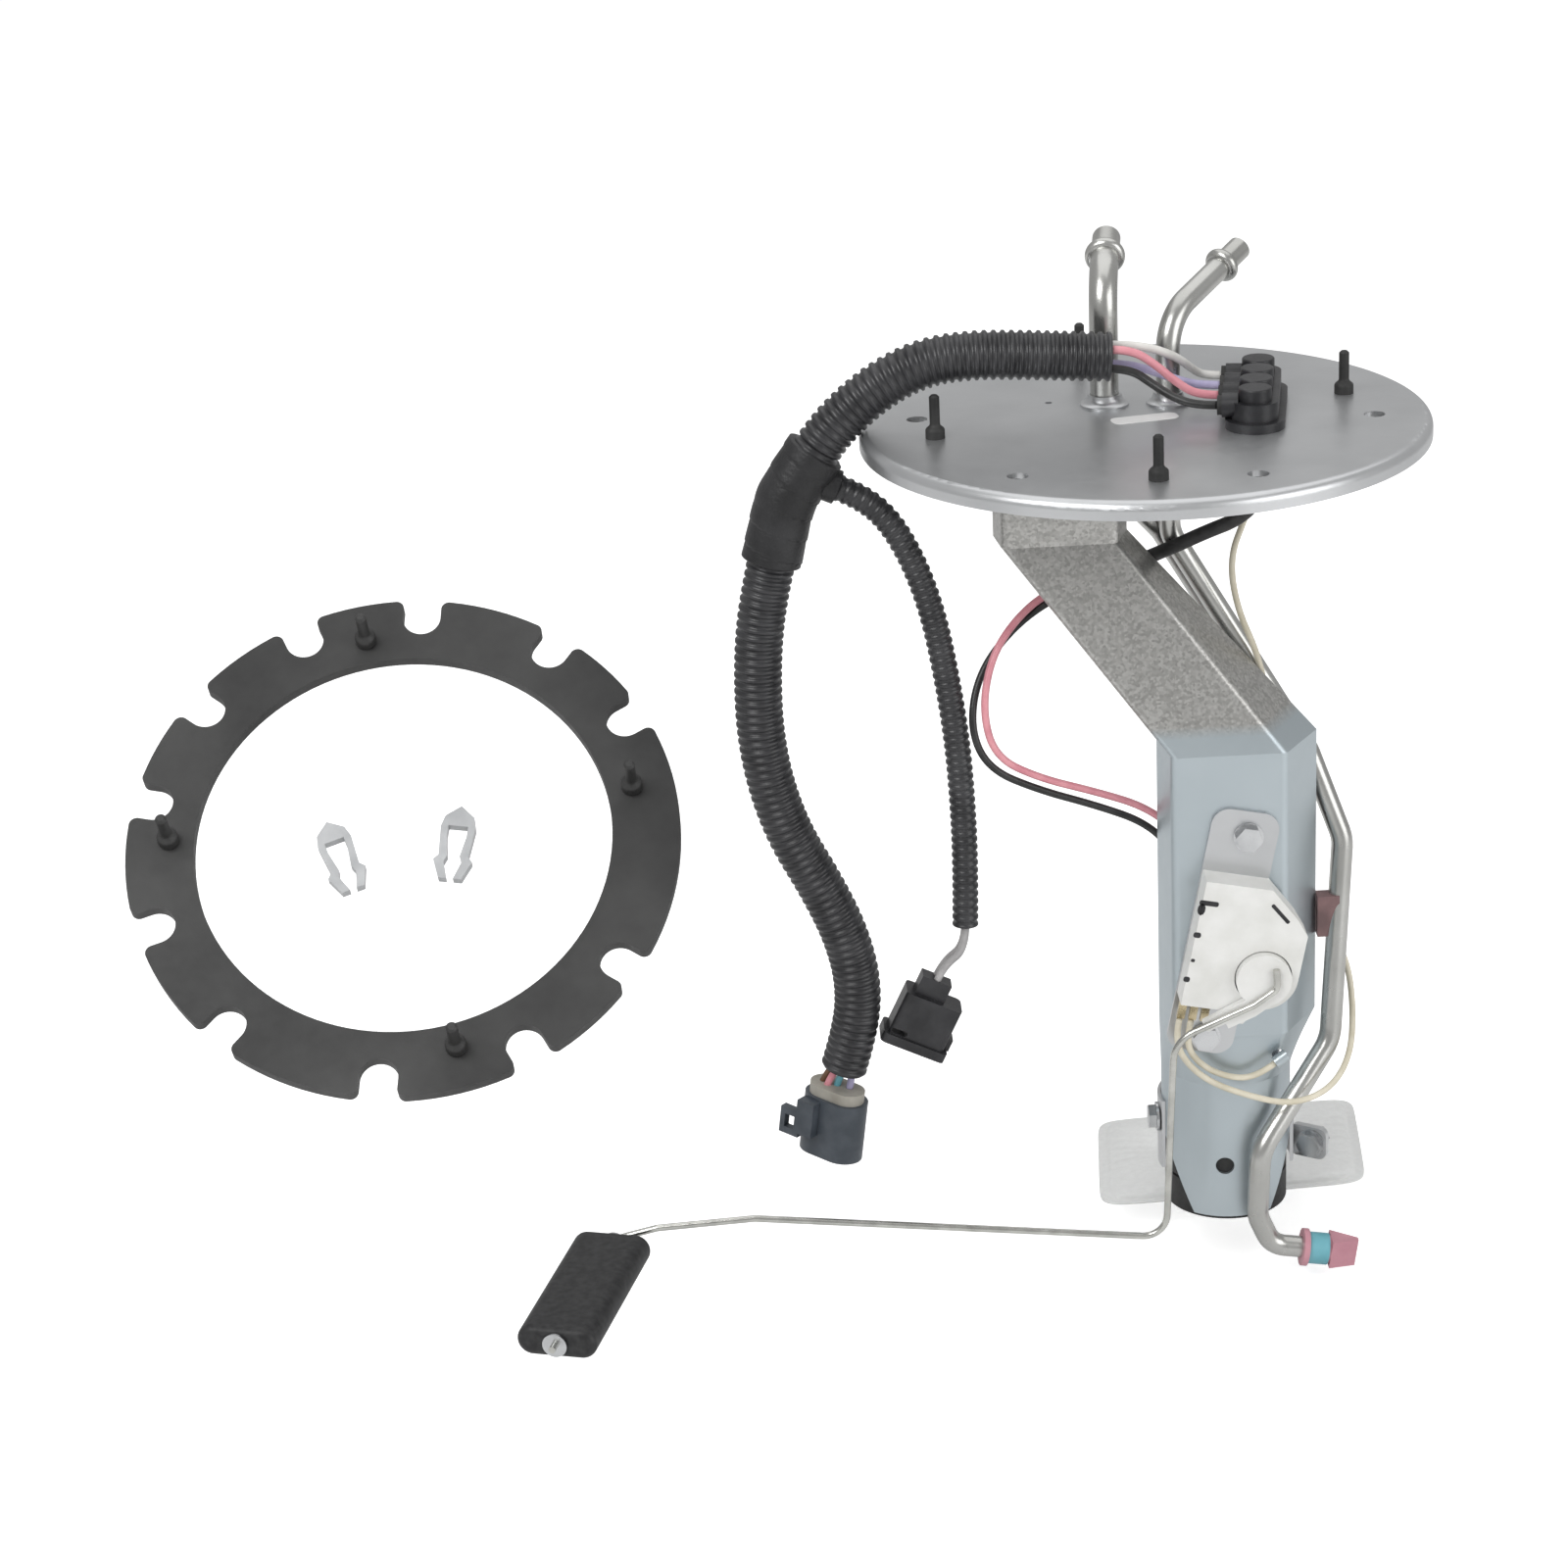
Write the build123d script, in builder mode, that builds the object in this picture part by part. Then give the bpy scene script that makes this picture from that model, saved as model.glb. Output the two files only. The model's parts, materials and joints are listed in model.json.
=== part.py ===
"""A fuel pump module with its harness, its loose gasket and its two loose line clips.

Millimetres, +Z up, +X to the right and -Y to the viewer.
The origin is the centre of the flange's bolt circle, on the plate's underside.
"""

import os
from math import cos, pi, radians, sin, tan

from build123d import *

# Fits
RUNNING = 0.05
SEAT = 0.1
CLEAR = 0.4
# A cut starts and ends this far outside what it cuts
SPARE = 1.0

# Flange plate
FLANGE_RADIUS = 94.0
PLATE = 2.0
RIM_DROP = 6.0
RIM_BEND = 3.0
BOLT_CIRCLE = 75.0
BOLT_HOLE = 3.5
BOLT_COUNT = 6
BOLT_PHASE = -8.0
DIMPLE_AT = (-29.5, 22.3)
DIMPLE = 1.2

# Gasket, fitted under the plate, and a loose one like it
GASKET_OUTER = 83.3
GASKET_INNER = 62.8
GASKET_THICK = 4.0
NOTCH = 5.8
NOTCH_LIP = 2.4
NOTCH_EDGE = 1.0
NOTCH_CIRCLE = 77.2
NOTCH_STEP = 30.0
FITTED_NOTCHES = [BOLT_PHASE + 90.0 + NOTCH_STEP * n for n in range(1, 12)]
LOOSE_NOTCHES = (29.0, 54.4, 85.9, 113.4, 141.5, 167.3, 198.4, 228.3, 264.9, 297.6, 325.8)
PEG_CIRCLE = 70.5
PEG_ANGLES = (11.5, 99.5, 177.0, 283.0)
FITTED_PEG_TURN = 90.5
PEG_DEEP = 0.5
PEG_TIP = 0.7
PEG_FOOT = 3.2
PEG_STEM = 1.7
PEG_NECK = 1.5
PEG_FOOT_HEIGHT = 5.0
PEG_HEIGHT = 14.5
LOOSE_CENTRE = (-239.3, -145.0, -77.8)
LOOSE_TILT = 49.6
LOOSE_PEG_START = 0.4

# Line retainer clips
CLIP_THICK = 3.0
CLIP_HALF = (
    (0.0, 12.2),
    (4.4, 8.6),
    (5.3, 5.0),
    (4.5, -4.6),
    (5.9, -6.2),
    (3.5, -12.2),
    (1.0, -12.2),
    (2.7, -6.8),
    (1.9, -4.6),
    (3.0, 2.0),
    (3.0, 5.4),
)
CLIP_PLACES = ((-19.0, -3.5, 20.0), (15.7, -1.0, -9.0))

# Fuel tubes
SUPPLY_RADIUS = 4.76
SUPPLY_AT = (-11.3, 16.5)
RETURN_RADIUS = 4.0
RETURN_AT = (9.8, 15.0)
TUBE_WALL = 0.8
BEAD = 2.0
BEAD_ROOT = 0.3
BEAD_LENGTH = 4.2
COLLAR_WIDE = 3.3
COLLAR_HEIGHT = 4.0
COLLAR_EDGE = 0.8
COLLAR_BELOW = 3.0
SUPPLY_BEND = 14.0
RETURN_BEND = 16.0
SUPPLY_CORNER = 44.0
RETURN_CORNER = 31.0
SUPPLY_REACH = (4.2, 28.5, 7.6)
RETURN_REACH = (28.0, 32.0, 14.5)
SUPPLY_BEAD_AT = 17.4
RETURN_BEAD_AT = 33.8

# Wire feed-through
FEED_AT = (34.2, -18.0)
FEED_YAW = -9.5
FEED_PITCH = 12.0
FEED_WAYS = 4
FEED_BASE = 9.7
FEED_BASE_THICK = 3.0
FEED_BODY = 7.6
FEED_BODY_HEIGHT = 9.0
FEED_TOWER = 5.4
FEED_TOWER_HEIGHT = 13.4
FEED_NECK = 6.0
FEED_NECK_LENGTH = 8.0
FEED_BOSS = 4.0
FEED_BOSS_REACH = 12.2
FEED_BOSS_HEIGHT = 7.3
FEED_SEAL = 3.2
FEED_SEAL_THICK = 1.5
FEED_TOP_EDGE = 0.6
FEED_PIN = 1.0
FEED_PIN_LENGTH = 8.0

# Hanger bracket
SHEET = 1.2
FACE_HALVES = (20.6, 18.0)
TOP_FLARES = (0.13, 0.3)
LOW_FLARES = (0.13, 0.63)
TOP_DEPTH = 15.0
WALL_DEPTH = 21.0
BRACKET_FILLET = 3.0
TOP_X = -27.5
TOP_FACE_Y = -4.0
TOP_BEND_Z = -40.0
LOW_X = 26.0
LOW_FACE_Y = -24.0
LOW_BEND_Z = -110.0
WALL_END_Z = -214.0
SHELL_TOP_Z = -233.0
SHELL_END_Z = -284.0
SHELL_RADIUS = 22.7
SHELL_CUT_TOP_Z = -252.0
SHELL_CUT_X = 13.0
VIEW_HOLE_AT = (-3.0, -264.0)
VIEW_HOLE = 3.2
LEAD_HOLE = 2.0
LEAD_HOLE_AT = (15.4, -222.4)
SHELL_BEND_FROM = 88.0
SHELL_BEND_TO = 42.0
SHELL_CUT_BULGE = (4.2, 9.5)
FOOT = (33.0, 9.0)
TAB = (44.0, 8.0)

# Pump
PUMP_RADIUS = 19.0
PUMP_WALL = 0.8
PUMP_BOTTOM_Z = -278.0
PUMP_TOP_Z = -188.0
PUMP_X = LOW_X
PUMP_Y = LOW_FACE_Y + SHELL_RADIUS
CAP_THICK = 7.0
CAP_CROWN = 2.5
CAN_LIP = 1.2
IMPELLER = 13.5
IMPELLER_THICK = 3.0
BLADES = 24
BLADE_DEPTH = 6.0
BLADE_GAP = 1.8
SHAFT = 2.0
ARMATURE = 11.6
ARMATURE_LENGTH = 38.0
ARMATURE_SLOTS = 8
ARMATURE_GAP = 2.0
ARMATURE_STAND = 8.0
WINDING_HEAD = 4.0
WINDING_STEP = 2.0
MAGNET_GAP = 6.0
MAGNET_INNER = 12.4
COMMUTATOR = 6.0
COMMUTATOR_LENGTH = 7.0
BRUSH_LENGTH = 6.0
BRUSH_WIDE = 4.0
BRUSH_POST = 4.5
TERMINAL_AT = (8.0, 8.0)
TERMINAL_POST = 2.4
TERMINAL_RISE = 4.0
OUTLET_AT = (5.5, 5.0)
NIPPLE = 4.0
OUTLET_LENGTH = 15.0
INLET_AT = (2.0, 12.0)
INLET = 5.0
INLET_LENGTH = 5.0
ISOLATOR_TOP_Z = -238.0
ISOLATOR_LIP = -1.5
ISOLATOR_ROWS = 3
ISOLATOR_GROOVE = 1.0

# Rear clamp
CLAMP_TOP_Z = -246.0
CLAMP_WIDTH = 26.0
CLAMP_BOLT_Y = -2.6
CLAMP_BOLT_Z = -254.0
STRAP_OVERLAP = 6.0
EAR_REACH = 14.0
EAR_HEIGHT = 12.0
EAR_TURN = -32.0
EAR_CORNER = 3.0
BOLT_RADIUS = 2.5
HEX_FLATS = 8.0
HEX_HEIGHT = 3.6
WASHER_LIP = 1.2
WASHER_THICK = 0.9

# Lower fuel lines, as corner points with a bend radius
SUPPLY_LINE = 4.0
RETURN_LINE = 3.75
LINE_WALL = 0.8
LINE_BEND = 12.0
SUPPLY_CORNERS = (
    (-11.3, 16.5, -4.0),
    (-11.3, 16.5, -22.0),
    (7.8, 21.0, -44.0),
    (39.5, 19.0, -98.0),
    (31.5, 3.7, -126.0),
    (31.5, 3.7, -150.0),
)
RETURN_CORNERS = (
    (9.8, 15.0, -4.0),
    (9.8, 15.0, -43.0),
    (55.8, 6.0, -121.0),
    (66.9, 0.0, -151.9),
    (61.2, -12.0, -222.6),
    (34.5, -29.8, -256.0),
    (33.5, -29.8, -281.0),
    (38.5, -29.5, -292.8),
    (49.0, -29.5, -294.4),
)
RETURN_BENDS = (14.0, 14.0, 14.0, 14.0, 14.0, 12.0, 8.0)
HOSE_WALL = 2.3
HOSE_TOP_Z = -138.0
BAND_THICK = 1.0
BAND_WIDTH = 7.0
BAND_FROM_END = 3.0
VALVE_FLARE = 6.6
VALVE_BODY = 5.0
VALVE_WALL = 1.0
VALVE_LIP = 2.0
FLARE_END = 2.0
VALVE_BAND_END = 9.0
VALVE_BODY_END = 9.8
VALVE_END = 19.5
VALVE_BAND = 5.6
HOLDER = (6.0, 15.0)
HOLDER_Z = -178.0

# Strainer
SOCK = (97.0, 63.5)
SOCK_AT = (33.4, 36.0)
SOCK_YAW = 8.0
SOCK_THICK = 7.0
SOCK_TOP_Z = -289.0
SOCK_COLLAR = 6.7
SOCK_COLLAR_HEIGHT = 9.0
SOCK_EDGE = 3.3
SOCK_CORNER = 9.0

# Level sender, laid out on the bracket's face from its upper bolt
SENDER_TOP = (30.9, -139.0)
SENDER_LEAN = 11.4
SENDER_BOLT_SPAN = 75.0
SENDER_PLATE = 1.4
SENDER_PLATE_SIDES = (-13.2, 10.0)
SENDER_PLATE_ENDS = (9.0, -81.0)
SENDER_PLATE_CORNER = 6.0
HOUSING_DEPTH = 9.0
HOUSING_WALL = 1.5
HOUSING_OUTLINE = (
    (-12.8, -60.0),
    (-12.8, -14.0),
    (10.0, -14.0),
    (20.5, -23.5),
    (25.0, -29.0),
    (25.0, -46.0),
)
HOUSING_FOOT = ((9.5, -64.0), (3.0, -64.0), (1.5, -60.0))
HUB_AT = (13.0, -46.0)
HUB_CORNER = 12.0
ROTOR = 9.4
ROTOR_PROUD = 3.1
ROTOR_PIN = 2.5
PIN_BOSS = 2.0
LEVER_TURN = 214.9
LEVER = (
    (0.0, 0.0),
    (9.0, 3.6),
    (25.0, 4.6),
    (25.0, 8.6),
    (18.0, 8.6),
    (18.0, 10.6),
    (8.0, 10.6),
    (0.0, 9.0),
)
CARD_CORNER = (-9.5, -41.0)
CARD_SIZE = (7.0, 20.0)
CARD_THICK = 0.8
WIPER_REACH = 15.0
WIPER_RING = 1.5
WIPER_WIDE = 2.4
WIPER_THICK = 0.8
WIPER_ROOT = 1.0
TERMINAL_V = (-11.0, -7.0, -3.0)
TERMINAL_SIZE = (2.6, 7.0, 2.0)
TERMINAL_BACK = 4.0
ARM_RADIUS = 1.2
ARM_Y = -40.2
ARM_BENDS = (3.0, 4.0, 12.0, 8.0, 4.0, 4.0, 4.0)
ARM_POINTS = (
    (38.4, -182.0),
    (38.9, -189.0),
    (31.0, -194.7),
    (3.6, -206.6),
    (0.3, -281.9),
    (-142.2, -266.5),
    (-176.0, -268.3),
    (-190.0, -271.5),
)

# Float
FLOAT_WIDTH = 27.5
FLOAT_HEIGHT = 10.8
FLOAT_LENGTH = 68.0
FLOAT_EDGE = 2.5
FLOAT_FROM_BEND = 4.6
FLOAT_YAW = 15.0
NUT_RADIUS = 4.2
NUT_THICK = 0.8
WIRE_TIP = 4.0

# Harness, as hand-chosen points
CONDUIT = 8.2
BRANCH = 4.55
TEE = 10.0
TEE_CORNER = (-119.294, 0.0, -19.735)
STUB = 5.8
STUB_LENGTH = 8.0
WIRE = 1.4
LEAD = 1.3
THIN_LEAD = 1.1
SLEEVE = 2.4
UPPER_CONDUIT = (
    (-10.7, 0.0, 22.9),
    (-24.5, 0.0, 23.9),
    (-40.5, 0.0, 25.1),
    (-56.6, 0.0, 25.9),
    (-71.0, 0.0, 24.4),
    (-84.1, 0.0, 18.8),
    (-95.7, 0.0, 10.4),
    (-104.8, 0.0, 1.2),
    (-108.898, 0.0, -4.72),
)
LOWER_CONDUIT = (
    (-122.5, 0.0, -32.0),
    (-126.5, 0.0, -47.3),
    (-130.0, 0.0, -64.5),
    (-131.5, 0.0, -81.9),
    (-131.7, 0.0, -101.4),
    (-129.1, 0.0, -121.2),
    (-123.3, 0.0, -140.4),
    (-114.0, 0.0, -158.5),
    (-105.9, 0.0, -177.5),
    (-101.9, 0.0, -196.4),
    (-103.4, 0.0, -214.5),
    (-108.6, 0.0, -230.4),
)
BRANCH_CONDUIT = (
    (-101.9, 0.0, -16.9),
    (-94.6, 0.0, -20.2),
    (-85.4, 0.0, -28.6),
    (-77.5, 0.0, -43.7),
    (-71.6, 0.0, -62.4),
    (-67.7, 0.0, -85.3),
    (-64.8, 0.0, -109.0),
    (-63.6, 0.0, -132.5),
    (-63.3, 0.0, -155.5),
    (-64.0, 0.0, -177.0),
)
WIRE_ROUTES = {
    "wire_black": (
        (15.302, -14.837, 9.3),
        (8.5, -11.5, 11.3),
        (2.2, -6.6, 14.8),
        (-4.4, -3.2, 19.23),
        (-10.93, -3.2, 19.7),
    ),
    "wire_pink": (
        (17.283, -3.002, 9.3),
        (10.3, -2.5, 14.0),
        (3.3, -2.9, 20.6),
        (-3.9, -3.2, 25.63),
        (-10.47, -3.2, 26.1),
    ),
    "wire_lavender": (
        (19.264, 8.834, 9.3),
        (12.4, 6.4, 12.0),
        (4.3, 4.0, 15.9),
        (-4.4, 3.2, 19.23),
        (-10.93, 3.2, 19.7),
    ),
    "wire_white": (
        (22.191, 20.51, 9.3),
        (17.8, 17.2, 12.8),
        (14.9, 11.5, 16.5),
        (10.5, 6.5, 20.5),
        (3.5, 3.9, 24.0),
        (-3.9, 3.2, 25.63),
        (-10.47, 3.2, 26.1),
    ),
}
BRANCH_LEAD = ((-64.03, -177.0), (-64.35, -186.0), (-71.9, -191.6), (-74.5, -197.0))
BRANCH_LEAD_Y = 2.1
SLEEVE_ROUTE = (
    (35.2, -12.1, -19.0),
    (35.2, -12.1, -26.0),
    (29.5, -7.0, -33.0),
    (20.5, 2.0, -39.5),
    (11.0, 7.2, -45.5),
    (2.0, 13.6, -51.3),
    (-8.0, 14.2, -55.5),
    (-19.0, 14.0, -58.3),
)
PINK_LEAD = (
    (-19.35, 14.0, -56.9),
    (-31.5, 14.0, -61.5),
    (-43.5, 9.0, -69.5),
    (-52.5, 2.0, -80.5),
    (-56.2, -4.0, -97.0),
    (-52.4, -4.5, -113.8),
    (-37.6, -3.0, -122.8),
    (-17.7, -0.5, -130.0),
    (-1.0, 1.8, -137.2),
    (10.0, 1.0, -146.5),
    (17.5, -4.5, -157.0),
    (20.4, -9.3, -167.5),
    (20.4, -9.3, -177.5),
)
BLACK_LEAD = (
    (-18.65, 14.0, -59.7),
    (-31.0, 14.0, -64.4),
    (-46.0, 10.5, -74.5),
    (-57.3, 3.0, -87.5),
    (-60.5, -4.5, -103.7),
    (-54.5, -4.5, -118.2),
    (-37.7, -3.0, -127.2),
    (-17.8, -0.5, -135.0),
    (-1.1, 1.8, -143.0),
    (8.0, -1.0, -152.0),
    (14.0, -6.0, -161.0),
    (16.6, -9.3, -169.0),
    (16.6, -9.3, -177.5),
)
GROUND_LEAD = (
    (39.2, 11.6, -19.0),
    (39.2, 11.6, -26.5),
    (34.5, 7.5, -36.5),
    (28.5, 3.0, -49.5),
    (30.8, 2.0, -66.8),
    (38.0, 4.0, -84.0),
    (41.0, 4.0, -98.5),
    (41.3, 1.5, -107.5),
    (40.5, -6.0, -113.0),
    (39.3, -14.5, -118.5),
    (39.0, -19.6, -125.8),
    (39.0, -20.4, -132.5),
)
OUTER_LEAD = (
    (6.4, -32.0, -202.5),
    (5.2, -32.0, -208.5),
    (7.0, -32.0, -217.0),
    (15.8, -31.0, -227.0),
    (30.1, -30.0, -234.0),
    (45.0, -32.5, -237.0),
    (59.0, -27.5, -234.5),
    (68.0, -15.0, -228.0),
    (70.6, -4.0, -215.0),
    (69.5, 2.0, -200.0),
    (63.0, 5.5, -187.0),
    (53.0, 6.5, -177.5),
    (44.5, 2.0, -168.5),
    (40.5, -7.0, -160.5),
    (39.2, -16.0, -153.0),
    (39.0, -20.0, -145.5),
    (39.0, -20.4, -138.5),
)
INNER_LEAD = (
    (10.35, -32.0, -203.3),
    (9.1, -31.4, -209.5),
    (10.4, -30.0, -217.0),
    (17.0, -28.8, -224.2),
    (27.0, -28.2, -228.2),
    (34.5, -27.6, -227.2),
    (40.0, -26.6, -223.6),
)
GROUND_POST = (5.0, 4.8, 6.0)
GROUND_POST_AT = (39.0, -132.5)

# Connectors
BOOT = (9.0, 20.5, 13.0)
BOOT_CORNER = 2.0
PUMP_PLUG = (24.0, 10.0, 8.8)
PUMP_PLUG_AT = (26.0, -9.3, -177.5)
GROMMET = 2.2
GROMMET_LENGTH = 5.0
MAIN_AXIS = (-0.139, 0.0, -0.99)
MAIN_AT = (-110.8, 0.0, -236.8)
MAIN_YAW = 37.0
MAIN_LONG = 24.0
MAIN_WIDE = 15.0
MAIN_LENGTH = 22.0
MAIN_SEAL = 4.0
MAIN_LEAD = 1.25
MAIN_LEAD_PITCH = 3.6
MAIN_RIM = 1.5
MAIN_SOCKET = 13.2
MAIN_LEAD_LENGTH = 8.0
LATCH_BLOCK = (7.0, 5.0, 13.0)
LATCH_BLOCK_AT = (-5.5, 6.3, 5.0)
LATCH_LOOP = (8.0, 3.0, 10.0)
LATCH_LOOP_HOLE = (4.0, 5.0)
LATCH_LOOP_AT = (-12.0, 7.6, 10.0)
BRANCH_AXIS = (-0.436, 0.0, -0.9)
BRANCH_AT = (-74.5, 0.0, -197.0)
BRANCH_BOSS = (11.0, 7.0, 7.0)
BRANCH_BODY = (21.0, 12.0, 20.0)
BRANCH_SHIFT = -2.0
BRANCH_CORNER = 2.0
BRANCH_COLLAR = (24.0, 14.0, 3.5)
BRANCH_LUG = (4.0, 6.0, 4.5)
BRANCH_SLIT = (6.0, 2.0)
BRANCH_SLIT_AT = (5.0, 22.0)

PLATE_TOP = PLATE
PUMP_AXIS = Plane(origin=(PUMP_X, PUMP_Y, 0))


def save(part, label):
    """Names a finished piece and writes it as its own file."""
    part.label = label
    export_step(part, f"parts/{label}.step")


def turned(base, angle, at=(0, 0, 0)):
    """A plane like another, at a point of its own, turned about its own normal."""
    x_dir = base.x_dir * cos(radians(angle)) + base.y_dir * sin(radians(angle))
    return Plane(origin=base.from_local_coords(at), x_dir=x_dir, z_dir=base.z_dir)


def add_disc(base, outer, inner, height, mode=Mode.ADD):
    """A round disc or ring that stands on a plane, added to the open part."""
    with BuildSketch(base) as ring:
        Circle(outer)
        if inner:
            Circle(inner, mode=Mode.SUBTRACT)
    extrude(ring.sketch, amount=height, mode=mode)


def add_bolt(base, length, flats=HEX_FLATS, height=HEX_HEIGHT, shank=BOLT_RADIUS):
    """A hexagon head with a washer face on a plane and a shank behind it, added to the open part."""
    with BuildSketch(base) as head:
        RegularPolygon(flats / 2, 6, major_radius=False)
    extrude(head.sketch, amount=height)
    add_disc(base, flats / 2 + WASHER_LIP, 0, WASHER_THICK)
    add_disc(base, shank, 0, -length)


def add_bar(points, radius, corner_radii, bore=0.0):
    """A round bar or pipe along straight runs joined by tangent arcs, added to the open part."""
    with BuildLine() as path:
        FilletPolyline(*points, radius=corner_radii)
    along = path.wire()
    with BuildSketch(Plane(origin=along @ 0, z_dir=along % 0)) as section:
        Circle(radius)
        if bore:
            Circle(bore, mode=Mode.SUBTRACT)
    sweep(section.sketch, path=along)
    return along


def add_collar(at, radius):
    """A pressed collar on the plate about a spigot, hollow at its side, added to the open part."""
    with BuildSketch(Plane(origin=(at[0], at[1], PLATE_TOP), x_dir=(1, 0, 0), z_dir=(0, -1, 0))) as side:
        with BuildLine():
            Polyline((radius, 0), (radius + COLLAR_WIDE, 0), (radius + COLLAR_WIDE, COLLAR_EDGE))
            Spline(
                (radius + COLLAR_WIDE, COLLAR_EDGE),
                (radius + COLLAR_EDGE, COLLAR_HEIGHT),
                tangents=[(-1, 0.15), (-0.1, 1)],
            )
            Polyline((radius + COLLAR_EDGE, COLLAR_HEIGHT), (radius, COLLAR_HEIGHT), (radius, 0))
        make_face()
    revolve(side.sketch, axis=Axis((at[0], at[1], 0), (0, 0, 1)))


def slack_radii(points):
    """Each corner's arc takes 0.45 of the shorter of its two runs."""
    radii = []
    for before, corner, after in zip(points, points[1:], points[2:]):
        incoming = Vector(*corner) - Vector(*before)
        outgoing = Vector(*after) - Vector(*corner)
        half_turn = radians(incoming.get_angle(outgoing)) / 2
        radii.append(0.45 * min(incoming.length, outgoing.length) / tan(half_turn))
    return radii


def flat_route(pairs, depth):
    """Points across and up, given one depth."""
    return [(across, depth, up) for across, up in pairs]


def cord(label, radius, *routes):
    """The plain tubes of one or more cords, with each one's tightest arc and length printed."""
    all_lengths = 0
    with BuildPart() as tubes:
        for points in routes:
            radii = slack_radii(points)
            along = add_bar(points, radius, radii)
            all_lengths += along.length
            print(f"{label}: {along.length:.0f} mm long, tightest arc {min(radii):.0f} mm")
    share = tubes.part.volume / (pi * radius * radius * all_lengths)
    print(f"{label}: volume over section times length {share:.4f}")
    save(tubes.part, label)


os.makedirs("parts", exist_ok=True)

# Flange plate: a pressed disc with a rolled-down rim
RIM_INNER = FLANGE_RADIUS - PLATE
FEED_PLANE = Plane(
    origin=(*FEED_AT, PLATE_TOP),
    x_dir=(cos(radians(FEED_YAW)), sin(radians(FEED_YAW)), 0),
    z_dir=(0, 0, 1),
)
FEED_SIDE = Plane(origin=FEED_PLANE.origin, x_dir=-FEED_PLANE.y_dir, z_dir=-FEED_PLANE.x_dir)
FEED_SPAN = FEED_PITCH * (FEED_WAYS - 1)

with BuildPart() as flange_plate:
    with BuildSketch(Plane.XZ):
        with BuildLine():
            Polyline(
                (FLANGE_RADIUS - RIM_BEND, 0),
                (0, 0),
                (0, PLATE),
                (FLANGE_RADIUS - RIM_BEND, PLATE),
            )
            RadiusArc(
                (FLANGE_RADIUS - RIM_BEND, PLATE), (FLANGE_RADIUS, PLATE - RIM_BEND), RIM_BEND
            )
            Polyline(
                (FLANGE_RADIUS, PLATE - RIM_BEND),
                (FLANGE_RADIUS, PLATE - RIM_DROP),
                (RIM_INNER, PLATE - RIM_DROP),
                (RIM_INNER, PLATE - RIM_BEND),
            )
            RadiusArc(
                (RIM_INNER, PLATE - RIM_BEND), (FLANGE_RADIUS - RIM_BEND, 0), -(RIM_BEND - PLATE)
            )
        make_face()
    revolve(axis=Axis.Z)
    with BuildSketch(Plane.XY):
        with PolarLocations(BOLT_CIRCLE, BOLT_COUNT, start_angle=BOLT_PHASE):
            Circle(BOLT_HOLE)
        for angle in PEG_ANGLES:
            with PolarLocations(PEG_CIRCLE, 1, start_angle=FITTED_PEG_TURN + angle):
                Circle(PEG_NECK + SEAT)
        with Locations(SUPPLY_AT):
            Circle(SUPPLY_RADIUS + SEAT)
        with Locations(RETURN_AT):
            Circle(RETURN_RADIUS + SEAT)
    extrude(amount=PLATE, mode=Mode.SUBTRACT)
    with BuildSketch(FEED_PLANE):
        with Locations((0, FEED_SPAN / 2)):
            SlotCenterToCenter(FEED_SPAN, 2 * (FEED_NECK + SEAT), rotation=90)
    extrude(amount=-PLATE, mode=Mode.SUBTRACT)
    with BuildSketch(Plane.XY.offset(PLATE)):
        with Locations(DIMPLE_AT):
            Circle(DIMPLE)
    extrude(amount=-PLATE / 2, mode=Mode.SUBTRACT)
    for at, radius in ((SUPPLY_AT, SUPPLY_RADIUS + SEAT), (RETURN_AT, RETURN_RADIUS + SEAT)):
        add_collar(at, radius)
save(flange_plate.part, "flange_plate")


def add_gasket(base, notch_angles, peg_turn, peg_start):
    """A rubber ring on a plane, with rounded notches in its edge and four bottle-shaped pegs."""
    with BuildSketch(base) as ring:
        Circle(GASKET_OUTER)
        for angle in notch_angles:
            with PolarLocations(NOTCH_CIRCLE, 1, start_angle=angle):
                Circle(NOTCH, mode=Mode.SUBTRACT)
                with Locations((NOTCH, 0)):
                    Rectangle(2 * NOTCH, 2 * NOTCH, mode=Mode.SUBTRACT)
        lips = ring.vertices().filter_by(lambda v: v.center().length > GASKET_OUTER - NOTCH_EDGE)
        fillet(lips, NOTCH_LIP)
        Circle(GASKET_INNER, mode=Mode.SUBTRACT)
    extrude(ring.sketch, amount=GASKET_THICK)
    for angle in PEG_ANGLES:
        around = radians(peg_turn + angle)
        foot = turned(base, 0, (PEG_CIRCLE * cos(around), PEG_CIRCLE * sin(around), GASKET_THICK))
        foot_top = peg_start + PEG_FOOT_HEIGHT
        peg_top = peg_start + PEG_HEIGHT
        with BuildSketch(Plane(origin=foot.origin, x_dir=foot.x_dir, z_dir=-foot.y_dir)) as peg:
            with BuildLine():
                Polyline(
                    (0, -PEG_DEEP),
                    (PEG_NECK, -PEG_DEEP),
                    (PEG_NECK, peg_start),
                    (PEG_FOOT, peg_start),
                    (PEG_FOOT, peg_start + PEG_FOOT_HEIGHT / 2),
                )
                Spline(
                    (PEG_FOOT, peg_start + PEG_FOOT_HEIGHT / 2),
                    (PEG_STEM, foot_top),
                    tangents=[(0, 1), (0, 1)],
                )
                Polyline(
                    (PEG_STEM, foot_top),
                    (PEG_STEM, peg_top - PEG_TIP),
                    (PEG_STEM - PEG_TIP, peg_top),
                    (0, peg_top),
                    (0, -PEG_DEEP),
                )
            make_face()
        revolve(peg.sketch, axis=Axis(foot.origin, foot.z_dir))


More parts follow.
